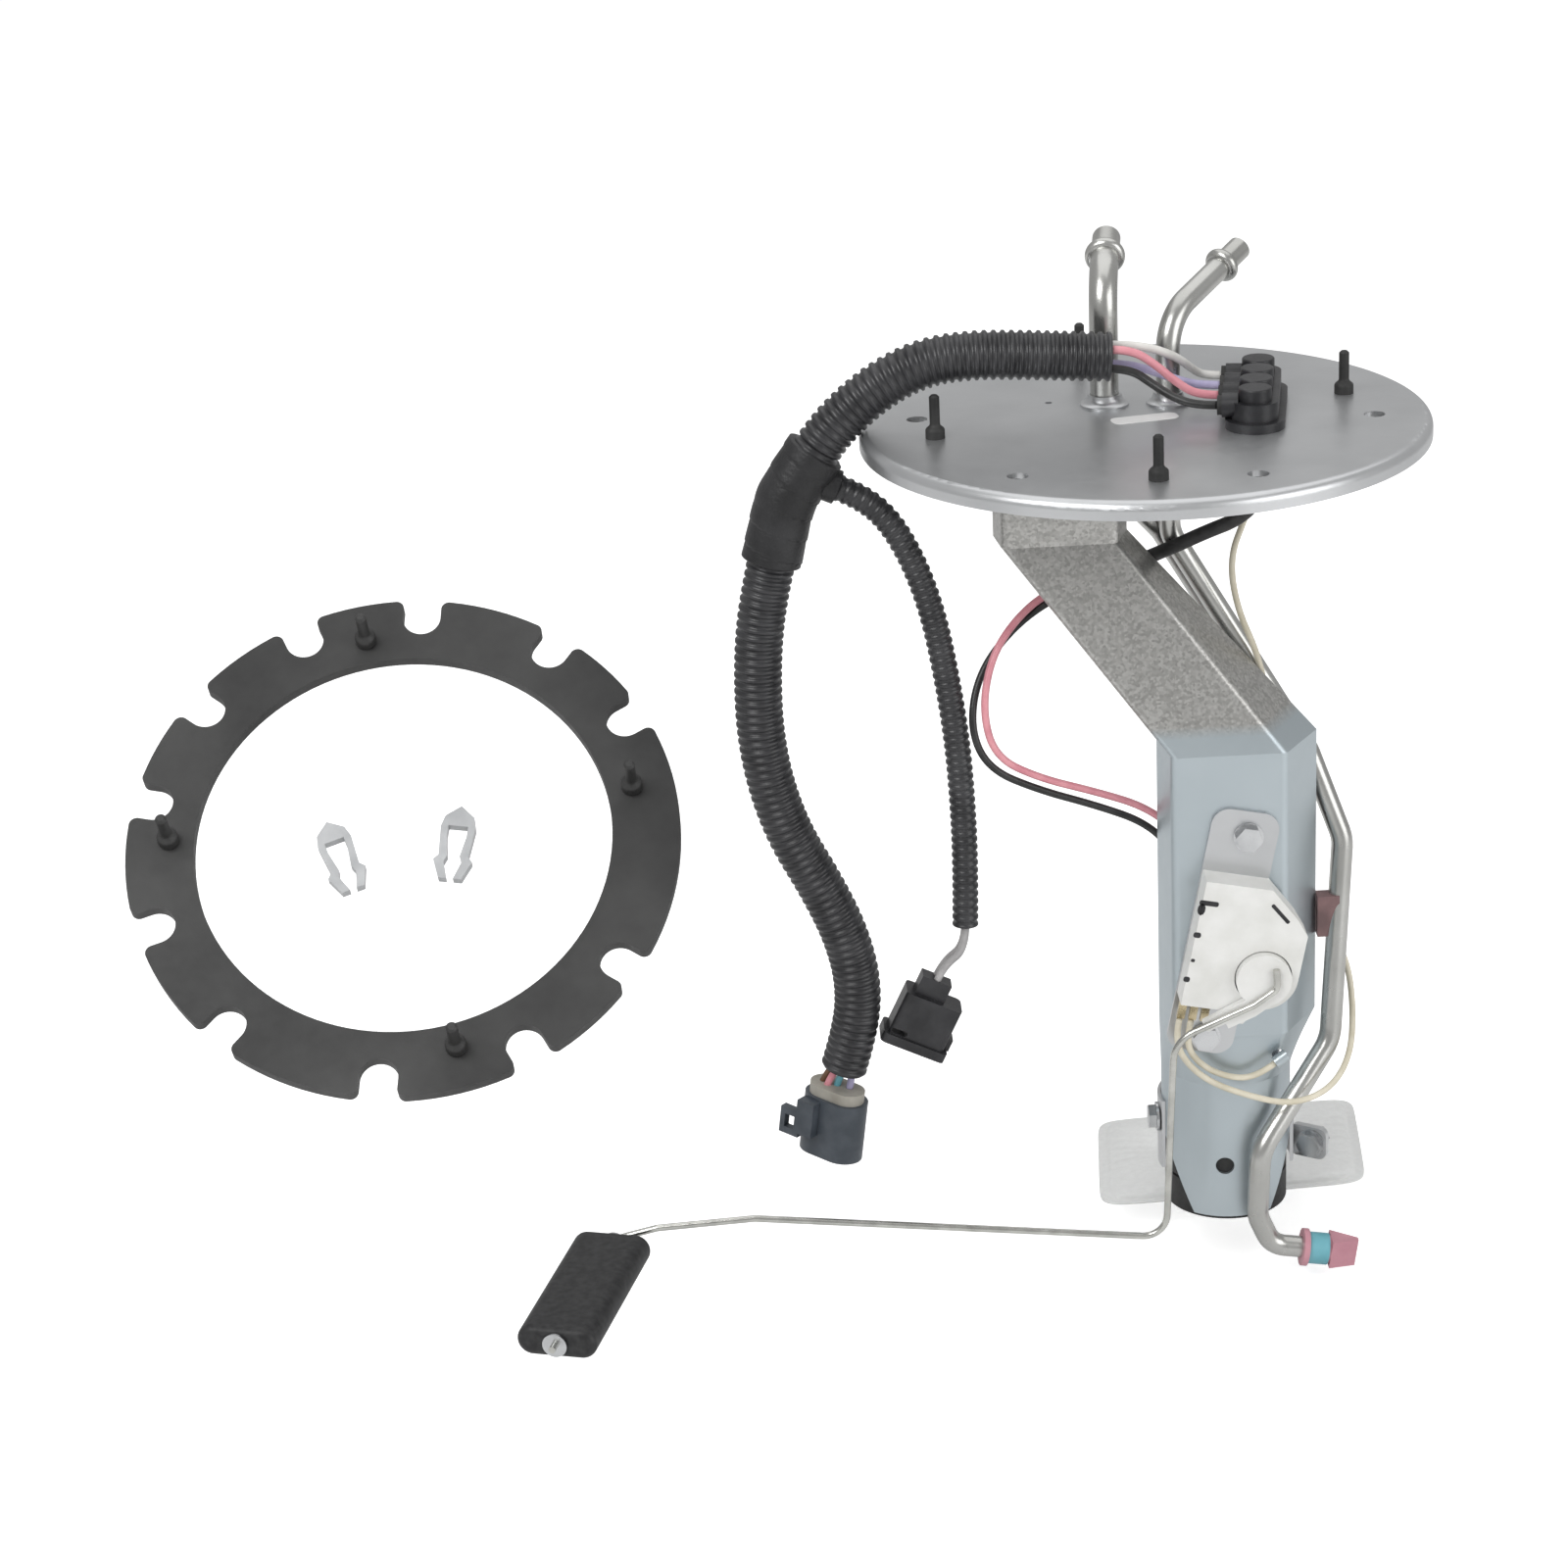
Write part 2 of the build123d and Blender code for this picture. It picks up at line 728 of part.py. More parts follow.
# The fitted gasket's pegs come up through the plate, and its notches clear the six bolts
with BuildPart() as flange_gasket:
    add_gasket(Plane.XY.offset(-GASKET_THICK), FITTED_NOTCHES, FITTED_PEG_TURN, PLATE)
save(flange_gasket.part, "flange_gasket")

# The loose gasket is tilted to the viewer, as it is shown beside the module, and lies a little out of true
LOOSE_PLANE = Plane(
    origin=LOOSE_CENTRE,
    x_dir=(1, 0, 0),
    z_dir=(0, -cos(radians(LOOSE_TILT)), sin(radians(LOOSE_TILT))),
)
with BuildPart() as loose_gasket:
    add_gasket(LOOSE_PLANE, LOOSE_NOTCHES, 0, LOOSE_PEG_START)
save(loose_gasket.part, "loose_gasket")

# Two line clips, each a pointed head with two barbed legs
clip_outline = [*CLIP_HALF, *((-across, up) for across, up in reversed(CLIP_HALF)), CLIP_HALF[0]]
with BuildPart() as line_clips:
    for clip_x, clip_y, clip_turn in CLIP_PLACES:
        with BuildSketch(turned(LOOSE_PLANE, clip_turn, (clip_x, clip_y, 0))):
            with BuildLine():
                Polyline(*clip_outline[:-2], close=True)
            make_face()
        extrude(amount=CLIP_THICK)
save(line_clips.part, "line_clips")


def add_spigot(at, radius, corner_z, reach, bend, bead_at):
    """A steel tube that stands up out of the plate, bends back and ends past a rolled bead."""
    corner = Vector(at[0], at[1], corner_z)
    direction = Vector(*reach).normalized()
    end = corner + Vector(*reach)
    add_bar(
        ((at[0], at[1], -COLLAR_BELOW - SPARE), tuple(corner), tuple(end)), radius, [bend], radius - TUBE_WALL
    )
    bead_plane = Plane(origin=corner + direction * (bead_at - BEAD_LENGTH / 2), z_dir=direction)
    root = radius - BEAD_ROOT
    bead_side = Plane(origin=bead_plane.origin, x_dir=bead_plane.x_dir, z_dir=-bead_plane.y_dir)
    with BuildSketch(bead_side) as bead:
        with BuildLine():
            Polyline((radius, BEAD_LENGTH), (root, BEAD_LENGTH), (root, 0), (radius, 0))
            ThreePointArc((radius, 0), (radius + BEAD, BEAD_LENGTH / 2), (radius, BEAD_LENGTH))
        make_face()
    revolve(bead.sketch, axis=Axis(bead_plane.origin, direction))


with BuildPart() as supply_spigot:
    add_spigot(SUPPLY_AT, SUPPLY_RADIUS, SUPPLY_CORNER, SUPPLY_REACH, SUPPLY_BEND, SUPPLY_BEAD_AT)
save(supply_spigot.part, "supply_spigot")

with BuildPart() as return_spigot:
    add_spigot(RETURN_AT, RETURN_RADIUS, RETURN_CORNER, RETURN_REACH, RETURN_BEND, RETURN_BEAD_AT)
save(return_spigot.part, "return_spigot")


# Wire feed-through: a moulded block with a row of four towers and four wire bosses
with BuildPart() as feed_through:
    with BuildSketch(FEED_PLANE):
        with Locations((0, FEED_SPAN / 2)):
            SlotCenterToCenter(FEED_SPAN, 2 * FEED_BASE, rotation=90)
    extrude(amount=FEED_BASE_THICK)
    with BuildSketch(FEED_PLANE.offset(FEED_BASE_THICK)):
        with Locations((0, FEED_SPAN / 2)):
            SlotCenterToCenter(FEED_SPAN, 2 * FEED_BODY, rotation=90)
    extrude(amount=FEED_BODY_HEIGHT - FEED_BASE_THICK)
    with BuildSketch(FEED_PLANE):
        with Locations(*((0, FEED_PITCH * n) for n in range(FEED_WAYS))):
            Circle(FEED_TOWER)
    extrude(amount=FEED_TOWER_HEIGHT)
    fillet(feed_through.faces().group_by(Axis.Z)[-1].edges(), FEED_TOP_EDGE)
    with BuildSketch(FEED_PLANE):
        with Locations((0, FEED_SPAN / 2)):
            SlotCenterToCenter(FEED_SPAN, 2 * FEED_NECK, rotation=90)
    extrude(amount=-FEED_NECK_LENGTH)
    with BuildSketch(FEED_SIDE.offset(FEED_TOWER)):
        with Locations(*((-FEED_PITCH * n, FEED_BOSS_HEIGHT) for n in range(FEED_WAYS))):
            Circle(FEED_BOSS)
    extrude(amount=FEED_BOSS_REACH - FEED_TOWER - FEED_SEAL_THICK)
save(feed_through.part, "feed_through")

with BuildPart() as feed_wire_seals:
    with BuildSketch(FEED_SIDE.offset(FEED_BOSS_REACH - FEED_SEAL_THICK)):
        with Locations(*((-FEED_PITCH * n, FEED_BOSS_HEIGHT) for n in range(FEED_WAYS))):
            Circle(FEED_SEAL)
    extrude(amount=FEED_SEAL_THICK)
save(feed_wire_seals.part, "feed_wire_seals")

with BuildPart() as feed_pins:
    with BuildSketch(FEED_PLANE.offset(-FEED_NECK_LENGTH)):
        with Locations(*((0, FEED_PITCH * n) for n in range(FEED_WAYS))):
            Circle(FEED_PIN)
    extrude(amount=-FEED_PIN_LENGTH)
save(feed_pins.part, "feed_pins")


def channel_outline(inset, depth, extra, flares):
    """The bracket's outline seen from above: a flat face, rounded bends and two walls that flare back."""
    fronts = []
    backs = []
    for side_of, half, flare in zip((-1, 1), FACE_HALVES, flares):
        wall = half - inset * (1 + flare**2) ** 0.5
        fronts.append((side_of * (wall + flare * inset), inset))
        backs.append((side_of * (wall + flare * (depth + extra)), depth + extra))
    with BuildLine() as outline:
        FilletPolyline(backs[0], fronts[0], fronts[1], backs[1], radius=BRACKET_FILLET - inset)
        Line(backs[1], backs[0])
    make_face(outline.edges())


def shell_outline(inset, extra):
    """The bracket's lower outline: half a round about the pump, in as many edges as the channel."""
    radius = SHELL_RADIUS - inset
    depth = SHELL_RADIUS + extra
    marks = []
    for turn in (-SHELL_BEND_FROM, -SHELL_BEND_TO, SHELL_BEND_TO, SHELL_BEND_FROM):
        marks.append((radius * sin(radians(turn)), SHELL_RADIUS - radius * cos(radians(turn))))
    with BuildLine() as outline:
        Line((marks[0][0], depth), marks[0])
        RadiusArc(marks[0], marks[1], -radius)
        RadiusArc(marks[1], marks[2], -radius)
        RadiusArc(marks[2], marks[3], -radius)
        Line(marks[3], (marks[3][0], depth))
        Line((marks[3][0], depth), (marks[0][0], depth))
    make_face(outline.edges())


TOP_PLANE = Plane(origin=(TOP_X, TOP_FACE_Y, 0))
TOP_BEND_PLANE = TOP_PLANE.offset(TOP_BEND_Z)
LOW_BEND_PLANE = Plane(origin=(LOW_X, LOW_FACE_Y, LOW_BEND_Z))
WALL_END_PLANE = LOW_BEND_PLANE.offset(WALL_END_Z - LOW_BEND_Z)
SHELL_TOP_PLANE = LOW_BEND_PLANE.offset(SHELL_TOP_Z - LOW_BEND_Z)
FRONT_OF_SHELL = Plane(origin=(LOW_X, LOW_FACE_Y - SPARE, 0), x_dir=(1, 0, 0), z_dir=(0, -1, 0))

with BuildPart() as hanger_bracket:
    for inset, extra, how in ((0.0, 0.0, Mode.ADD), (SHEET, SPARE, Mode.SUBTRACT)):
        with BuildSketch(TOP_PLANE):
            channel_outline(inset, TOP_DEPTH, extra, TOP_FLARES)
        extrude(amount=TOP_BEND_Z, mode=how)
        with BuildSketch(TOP_BEND_PLANE):
            channel_outline(inset, TOP_DEPTH, extra, TOP_FLARES)
        with BuildSketch(LOW_BEND_PLANE):
            channel_outline(inset, WALL_DEPTH, extra, LOW_FLARES)
        loft(ruled=True, mode=how)
        with BuildSketch(LOW_BEND_PLANE):
            channel_outline(inset, WALL_DEPTH, extra, LOW_FLARES)
        extrude(amount=WALL_END_Z - LOW_BEND_Z, mode=how)
        with BuildSketch(WALL_END_PLANE):
            channel_outline(inset, WALL_DEPTH, extra, LOW_FLARES)
        with BuildSketch(SHELL_TOP_PLANE):
            shell_outline(inset, extra)
        loft(ruled=True, mode=how)
        with BuildSketch(SHELL_TOP_PLANE):
            shell_outline(inset, extra)
        extrude(amount=SHELL_END_Z - SHELL_TOP_Z, mode=how)
    with BuildSketch(FRONT_OF_SHELL):
        for side_of in (1, -1):
            with BuildLine():
                ThreePointArc(
                    (side_of * SHELL_CUT_X, SHELL_END_Z - SPARE),
                    (side_of * (SHELL_CUT_X + SHELL_CUT_BULGE[0]), SHELL_END_Z + SHELL_CUT_BULGE[1]),
                    (side_of * (SHELL_RADIUS + SPARE), SHELL_CUT_TOP_Z),
                )
                Polyline(
                    (side_of * (SHELL_RADIUS + SPARE), SHELL_CUT_TOP_Z),
                    (side_of * (SHELL_RADIUS + SPARE), SHELL_END_Z - SPARE),
                    (side_of * SHELL_CUT_X, SHELL_END_Z - SPARE),
                )
            make_face()
        with Locations(VIEW_HOLE_AT):
            Circle(VIEW_HOLE)
        with Locations(LEAD_HOLE_AT):
            Circle(LEAD_HOLE)
    extrude(amount=-(SHELL_RADIUS + SPARE), mode=Mode.SUBTRACT)
    add_disc(
        Plane(origin=(PUMP_X - SHELL_RADIUS - SPARE, CLAMP_BOLT_Y, CLAMP_BOLT_Z), z_dir=(1, 0, 0)),
        BOLT_RADIUS + SEAT,
        0,
        SHEET + 2 * SPARE,
        Mode.SUBTRACT,
    )
    with BuildSketch(TOP_PLANE):
        with Locations((0, SHEET)):
            Rectangle(*FOOT, align=(Align.CENTER, Align.MIN))
    extrude(amount=-SHEET)
    with BuildSketch(TOP_PLANE):
        Rectangle(TAB[0], SHEET, align=(Align.CENTER, Align.MAX))
    extrude(amount=-TAB[1])
    with Locations((GROUND_POST_AT[0], LOW_FACE_Y + SHEET, GROUND_POST_AT[1])):
        Box(*GROUND_POST, align=(Align.CENTER, Align.MIN, Align.MAX))
save(hanger_bracket.part, "hanger_bracket")


# Pump: a steel can closed by two caps, with its motor, pumping stage and outlet inside
PUMP_PLANE = Plane(origin=(PUMP_X, PUMP_Y, 0))
CAN_BORE = PUMP_RADIUS - PUMP_WALL


def at_height(height):
    """The plane across the pump at a height."""
    return PUMP_PLANE.offset(height)


with BuildPart() as pump_can:
    add_disc(at_height(PUMP_BOTTOM_Z), PUMP_RADIUS, CAN_BORE, PUMP_TOP_Z - PUMP_BOTTOM_Z)
    for end_z, inward in ((PUMP_BOTTOM_Z, 1), (PUMP_TOP_Z, -1)):
        add_disc(at_height(end_z), PUMP_RADIUS, CAN_BORE - CAN_LIP, inward * PUMP_WALL)
save(pump_can.part, "pump_can")

BOTTOM_CAP_Z = PUMP_BOTTOM_Z + PUMP_WALL
CHAMBER_Z = BOTTOM_CAP_Z + CAP_THICK
CHAMBER_TOP_Z = CHAMBER_Z + IMPELLER_THICK + 2 * CLEAR
TOP_CAP_Z = PUMP_TOP_Z - PUMP_WALL
MIDDLE_TOP_Z = CHAMBER_TOP_Z + CAP_THICK / 2

with BuildPart() as pump_bottom_cap:
    add_disc(at_height(BOTTOM_CAP_Z), CAN_BORE, 0, CAP_THICK)
    with Locations((PUMP_X + INLET_AT[0], PUMP_Y + INLET_AT[1], BOTTOM_CAP_Z)):
        Cylinder(INLET, INLET_LENGTH, align=(Align.CENTER, Align.CENTER, Align.MAX))
        Cylinder(
            INLET - TUBE_WALL, 2 * (INLET_LENGTH + CAP_THICK), mode=Mode.SUBTRACT
        )
    add_disc(at_height(CHAMBER_Z), SHAFT + RUNNING, 0, -CAP_THICK / 2, Mode.SUBTRACT)
save(pump_bottom_cap.part, "pump_bottom_cap")

with BuildPart() as pump_middle_plate:
    add_disc(at_height(CHAMBER_Z), CAN_BORE, IMPELLER + CLEAR, CHAMBER_TOP_Z - CHAMBER_Z)
    add_disc(at_height(CHAMBER_TOP_Z), CAN_BORE, SHAFT + RUNNING, CAP_THICK / 2)
    with BuildSketch(at_height(CHAMBER_TOP_Z)):
        with Locations((0, -INLET_AT[1])):
            Circle(INLET / 2)
    extrude(amount=CAP_THICK / 2, mode=Mode.SUBTRACT)
save(pump_middle_plate.part, "pump_middle_plate")

with BuildPart() as pump_impeller:
    add_disc(at_height(CHAMBER_Z + CLEAR), IMPELLER, SHAFT, IMPELLER_THICK)
    with BuildSketch(at_height(CHAMBER_Z + CLEAR)):
        with PolarLocations(IMPELLER, BLADES):
            Rectangle(BLADE_DEPTH, BLADE_GAP)
    extrude(amount=IMPELLER_THICK, mode=Mode.SUBTRACT)
save(pump_impeller.part, "pump_impeller")

ARMATURE_Z = MIDDLE_TOP_Z + ARMATURE_STAND
COMMUTATOR_Z = ARMATURE_Z + ARMATURE_LENGTH + WINDING_HEAD
SHAFT_TOP_Z = TOP_CAP_Z - CAP_THICK / 2

with BuildPart() as pump_armature:
    shaft_bottom = CHAMBER_Z - CAP_THICK / 2 + CLEAR
    add_disc(at_height(shaft_bottom), SHAFT, 0, SHAFT_TOP_Z - CLEAR - shaft_bottom)
    add_disc(at_height(ARMATURE_Z), ARMATURE, 0, ARMATURE_LENGTH)
    with BuildSketch(at_height(ARMATURE_Z)):
        with PolarLocations(ARMATURE, ARMATURE_SLOTS):
            Rectangle(ARMATURE, ARMATURE_GAP)
    extrude(amount=ARMATURE_LENGTH, mode=Mode.SUBTRACT)
    for head_z, up in ((ARMATURE_Z, -1), (ARMATURE_Z + ARMATURE_LENGTH, 1)):
        add_disc(at_height(head_z), ARMATURE - WINDING_STEP, 0, up * WINDING_HEAD)
    add_disc(at_height(COMMUTATOR_Z), COMMUTATOR, 0, COMMUTATOR_LENGTH)
save(pump_armature.part, "pump_armature")

with BuildPart() as pump_magnets:
    with BuildSketch(at_height(ARMATURE_Z)):
        Circle(CAN_BORE)
        Circle(MAGNET_INNER, mode=Mode.SUBTRACT)
        Rectangle(2 * CAN_BORE, MAGNET_GAP, mode=Mode.SUBTRACT)
    extrude(amount=ARMATURE_LENGTH)
save(pump_magnets.part, "pump_magnets")

BRUSH_X = COMMUTATOR + CLEAR
BRUSH_Z = COMMUTATOR_Z + COMMUTATOR_LENGTH / 2

with BuildPart() as pump_top_cap:
    add_disc(at_height(TOP_CAP_Z), CAN_BORE, 0, -CAP_THICK)
    add_disc(at_height(TOP_CAP_Z), CAN_BORE - CAN_LIP - SEAT, 0, CAP_CROWN)
    with Locations((PUMP_X + OUTLET_AT[0], PUMP_Y + OUTLET_AT[1], TOP_CAP_Z)):
        Cylinder(NIPPLE, OUTLET_LENGTH, align=(Align.CENTER, Align.CENTER, Align.MIN))
        Cylinder(NIPPLE - TUBE_WALL, 2 * OUTLET_LENGTH, mode=Mode.SUBTRACT)
    for side_of in (1, -1):
        with Locations((PUMP_X + side_of * (BRUSH_X + BRUSH_LENGTH + BRUSH_POST / 2), PUMP_Y, TOP_CAP_Z)):
            Box(
                BRUSH_POST,
                BRUSH_POST,
                TOP_CAP_Z - BRUSH_Z + BRUSH_WIDE / 2,
                align=(Align.CENTER, Align.CENTER, Align.MAX),
            )
        with Locations((PUMP_X + side_of * TERMINAL_AT[0], PUMP_Y - TERMINAL_AT[1], TOP_CAP_Z)):
            Cylinder(TERMINAL_POST, TERMINAL_RISE, align=(Align.CENTER, Align.CENTER, Align.MIN))
    add_disc(at_height(TOP_CAP_Z - CAP_THICK), SHAFT + RUNNING, 0, CAP_THICK / 2, Mode.SUBTRACT)
save(pump_top_cap.part, "pump_top_cap")

with BuildPart() as pump_brushes:
    for side_of in (1, -1):
        with Locations((PUMP_X + side_of * (BRUSH_X + BRUSH_LENGTH / 2), PUMP_Y, BRUSH_Z)):
            Box(BRUSH_LENGTH, BRUSH_WIDE, BRUSH_WIDE)
save(pump_brushes.part, "pump_brushes")

# Rubber isolator between the pump and its shell
with BuildPart() as isolator:
    isolator_outer = SHELL_RADIUS - SHEET - RUNNING
    isolator_bottom = SHELL_END_Z + ISOLATOR_LIP
    isolator_tall = ISOLATOR_TOP_Z - isolator_bottom
    add_disc(at_height(isolator_bottom), isolator_outer, PUMP_RADIUS + RUNNING, isolator_tall)
    for row in range(ISOLATOR_ROWS):
        row_z = isolator_bottom + (row + 1) * isolator_tall / (ISOLATOR_ROWS + 1)
        add_disc(
            at_height(row_z),
            isolator_outer + SPARE,
            isolator_outer - ISOLATOR_GROOVE,
            ISOLATOR_GROOVE,
            Mode.SUBTRACT,
        )
save(isolator.part, "isolator")

# Clamp strap behind the pump, with a bolt through its left end and a folded ear on the right
STRAP_INNER = SHELL_RADIUS + RUNNING
STRAP_OUTER = STRAP_INNER + SHEET
EAR_PLANE = Plane(
    origin=(PUMP_X + STRAP_OUTER - SHEET, PUMP_Y, CLAMP_TOP_Z - CLAMP_WIDTH),
    x_dir=(cos(radians(EAR_TURN)), sin(radians(EAR_TURN)), 0),
    z_dir=(0, 0, 1),
)
EAR_FRONT = Plane(
    origin=EAR_PLANE.from_local_coords((0.6 * EAR_REACH, 0, EAR_HEIGHT / 2)),
    x_dir=EAR_PLANE.x_dir,
    z_dir=-EAR_PLANE.y_dir,
)
with BuildPart() as clamp_strap:
    with BuildSketch(at_height(CLAMP_TOP_Z)):
        Circle(STRAP_OUTER)
        Circle(STRAP_INNER, mode=Mode.SUBTRACT)
        with Locations((0, -STRAP_OUTER - STRAP_OVERLAP)):
            Rectangle(3 * STRAP_OUTER, 2 * STRAP_OUTER, mode=Mode.SUBTRACT)
    extrude(amount=-CLAMP_WIDTH)
    ear_middle = EAR_PLANE.from_local_coords((EAR_REACH / 2, SHEET, EAR_HEIGHT / 2))
    with BuildSketch(Plane(origin=ear_middle, x_dir=EAR_PLANE.x_dir, z_dir=-EAR_PLANE.y_dir)):
        RectangleRounded(EAR_REACH, EAR_HEIGHT, EAR_CORNER)
    extrude(amount=SHEET, both=True)
    with BuildSketch(Plane(origin=(PUMP_X - STRAP_OUTER, CLAMP_BOLT_Y, CLAMP_BOLT_Z), z_dir=(-1, 0, 0))):
        Circle(BOLT_RADIUS + SEAT)
    extrude(amount=-2 * SHEET, mode=Mode.SUBTRACT)
    add_disc(EAR_FRONT, BOLT_RADIUS + SEAT, 0, -3 * SHEET, Mode.SUBTRACT)
save(clamp_strap.part, "clamp_strap")

with BuildPart() as clamp_fasteners:
    add_bolt(Plane(origin=(PUMP_X - STRAP_OUTER, CLAMP_BOLT_Y, CLAMP_BOLT_Z), z_dir=(-1, 0, 0)), 2 * SHEET)
    add_bolt(EAR_FRONT, 2 * SHEET + HEX_HEIGHT + SPARE)
    with BuildSketch(EAR_FRONT.offset(-2 * SHEET)):
        RegularPolygon(HEX_FLATS / 2, 6, major_radius=False)
        Circle(BOLT_RADIUS, mode=Mode.SUBTRACT)
    extrude(amount=-HEX_HEIGHT)
save(clamp_fasteners.part, "clamp_fasteners")

# Lower fuel lines
with BuildPart() as supply_line:
    add_bar(SUPPLY_CORNERS, SUPPLY_LINE, [LINE_BEND] * (len(SUPPLY_CORNERS) - 2), SUPPLY_LINE - LINE_WALL)
save(supply_line.part, "supply_line")

with BuildPart() as return_line:
    add_bar(RETURN_CORNERS, RETURN_LINE, list(RETURN_BENDS), RETURN_LINE - LINE_WALL)
save(return_line.part, "return_line")

OUTLET_X = PUMP_X + OUTLET_AT[0]
OUTLET_Y = PUMP_Y + OUTLET_AT[1]
HOSE_BOTTOM_Z = TOP_CAP_Z + CAP_CROWN + SEAT
HOSE_PLANE = Plane(origin=(OUTLET_X, OUTLET_Y, HOSE_BOTTOM_Z))
HOSE_LENGTH = HOSE_TOP_Z - HOSE_BOTTOM_Z

with BuildPart() as outlet_hose:
    add_disc(HOSE_PLANE, NIPPLE + HOSE_WALL, NIPPLE, HOSE_LENGTH)
save(outlet_hose.part, "outlet_hose")

with BuildPart() as hose_bands:
    for band_z in (BAND_FROM_END, HOSE_LENGTH - BAND_WIDTH - BAND_FROM_END):
        add_disc(
            HOSE_PLANE.offset(band_z), NIPPLE + HOSE_WALL + BAND_THICK, NIPPLE + HOSE_WALL, BAND_WIDTH
        )
save(hose_bands.part, "hose_bands")

# Return valve on the end of the return line, leaning a little down to the right
VALVE_PLANE = Plane(
    origin=RETURN_CORNERS[-1],
    x_dir=(0, 1, 0),
    z_dir=Vector(*RETURN_CORNERS[-1]) - Vector(*RETURN_CORNERS[-2]),
)

with BuildPart() as return_valve:
    with BuildSketch(Plane(origin=VALVE_PLANE.origin, x_dir=VALVE_PLANE.x_dir, z_dir=-VALVE_PLANE.y_dir)):
        with BuildLine():
            Polyline(
                (0, 0),
                (VALVE_FLARE, 0),
                (VALVE_FLARE, FLARE_END),
                (VALVE_BODY, FLARE_END),
                (VALVE_BODY, VALVE_BODY_END),
                (VALVE_BODY - VALVE_WALL, VALVE_BODY_END),
                (VALVE_BODY - VALVE_WALL, FLARE_END),
                (0, FLARE_END),
                (0, 0),
            )
        make_face()
    revolve(axis=Axis(VALVE_PLANE.origin, VALVE_PLANE.z_dir))
    with BuildSketch(VALVE_PLANE.offset(VALVE_BODY_END)):
        Rectangle(2 * VALVE_BODY, 2 * VALVE_BODY)
    with BuildSketch(VALVE_PLANE.offset(VALVE_END)):
        Rectangle(VALVE_LIP, 2 * VALVE_BODY)
    loft(ruled=True)
save(return_valve.part, "return_valve")

with BuildPart() as valve_band:
    add_disc(VALVE_PLANE.offset(FLARE_END + SEAT), VALVE_BAND, VALVE_BODY, VALVE_BAND_END - FLARE_END)
save(valve_band.part, "valve_band")

# Rubber block that keeps the return line off the bracket's right wall
run_share = (HOLDER_Z - RETURN_CORNERS[3][2]) / (RETURN_CORNERS[4][2] - RETURN_CORNERS[3][2])
LINE_RUN = Vector(*RETURN_CORNERS[4]) - Vector(*RETURN_CORNERS[3])
LINE_AT_HOLDER = Vector(*RETURN_CORNERS[3]) + LINE_RUN * run_share
WALL_EDGE_X = LOW_X + FACE_HALVES[1] + LOW_FLARES[1] * WALL_DEPTH
with BuildPart() as line_holder:
    with Locations((WALL_EDGE_X + SEAT, LINE_AT_HOLDER.Y, HOLDER_Z)):
        Box(LINE_AT_HOLDER.X - WALL_EDGE_X, *HOLDER, align=(Align.MIN, Align.CENTER, Align.CENTER))
    holder_end = Plane(origin=LINE_AT_HOLDER - LINE_RUN * run_share, z_dir=LINE_RUN)
    add_disc(holder_end, RETURN_LINE, 0, LINE_RUN.length, Mode.SUBTRACT)
save(line_holder.part, "line_holder")

# Strainer: a flat fabric pillow with a collar pushed on the pump's inlet
SOCK_BOTTOM_Z = SOCK_TOP_Z - SOCK_THICK
with BuildPart() as strainer_sock:
    with BuildSketch(Plane.XY.offset(SOCK_BOTTOM_Z)):
        with Locations(SOCK_AT):
            RectangleRounded(*SOCK, SOCK_CORNER, rotation=SOCK_YAW)
    extrude(amount=SOCK_THICK)
    fillet(strainer_sock.faces().sort_by(Axis.Z)[0].edges(), SOCK_EDGE)
    fillet(strainer_sock.faces().sort_by(Axis.Z)[-1].edges(), SOCK_EDGE)
save(strainer_sock.part, "strainer_sock")

with BuildPart() as strainer_collar:
    add_disc(
        Plane(origin=(PUMP_X + INLET_AT[0], PUMP_Y + INLET_AT[1], SOCK_TOP_Z)),
        SOCK_COLLAR,
        INLET,
        SOCK_COLLAR_HEIGHT,
    )
save(strainer_collar.part, "strainer_collar")

# Level sender
SENDER = Plane(
    origin=(SENDER_TOP[0], LOW_FACE_Y, SENDER_TOP[1]),
    x_dir=(cos(radians(SENDER_LEAN)), 0, -sin(radians(SENDER_LEAN))),
    z_dir=(0, -1, 0),
)
HOUSING_BACK = SENDER_PLATE
HOUSING_FRONT = HOUSING_BACK + HOUSING_DEPTH
COVER_FRONT = HOUSING_FRONT + HOUSING_WALL


def housing_outline():
    """The sender's housing seen from the front, rounded about the hub."""
    hub_v, hub_w = HUB_AT
    with BuildLine() as outline:
        Polyline(*HOUSING_FOOT, *HOUSING_OUTLINE)
        RadiusArc(HOUSING_OUTLINE[-1], (hub_v, hub_w - HUB_CORNER), HUB_CORNER)
        Polyline((hub_v, hub_w - HUB_CORNER), HOUSING_FOOT[0])
    make_face(outline.edges())


with BuildPart() as sender_plate:
    with BuildSketch(SENDER):
        with Locations(
            (
                (SENDER_PLATE_SIDES[0] + SENDER_PLATE_SIDES[1]) / 2,
                (SENDER_PLATE_ENDS[0] + SENDER_PLATE_ENDS[1]) / 2,
            )
        ):
            RectangleRounded(
                SENDER_PLATE_SIDES[1] - SENDER_PLATE_SIDES[0],
                SENDER_PLATE_ENDS[0] - SENDER_PLATE_ENDS[1],
                SENDER_PLATE_CORNER,
            )
        with Locations((0, 0), (0, -SENDER_BOLT_SPAN)):
            Circle(BOLT_RADIUS, mode=Mode.SUBTRACT)
    extrude(amount=SENDER_PLATE)
save(sender_plate.part, "sender_plate")

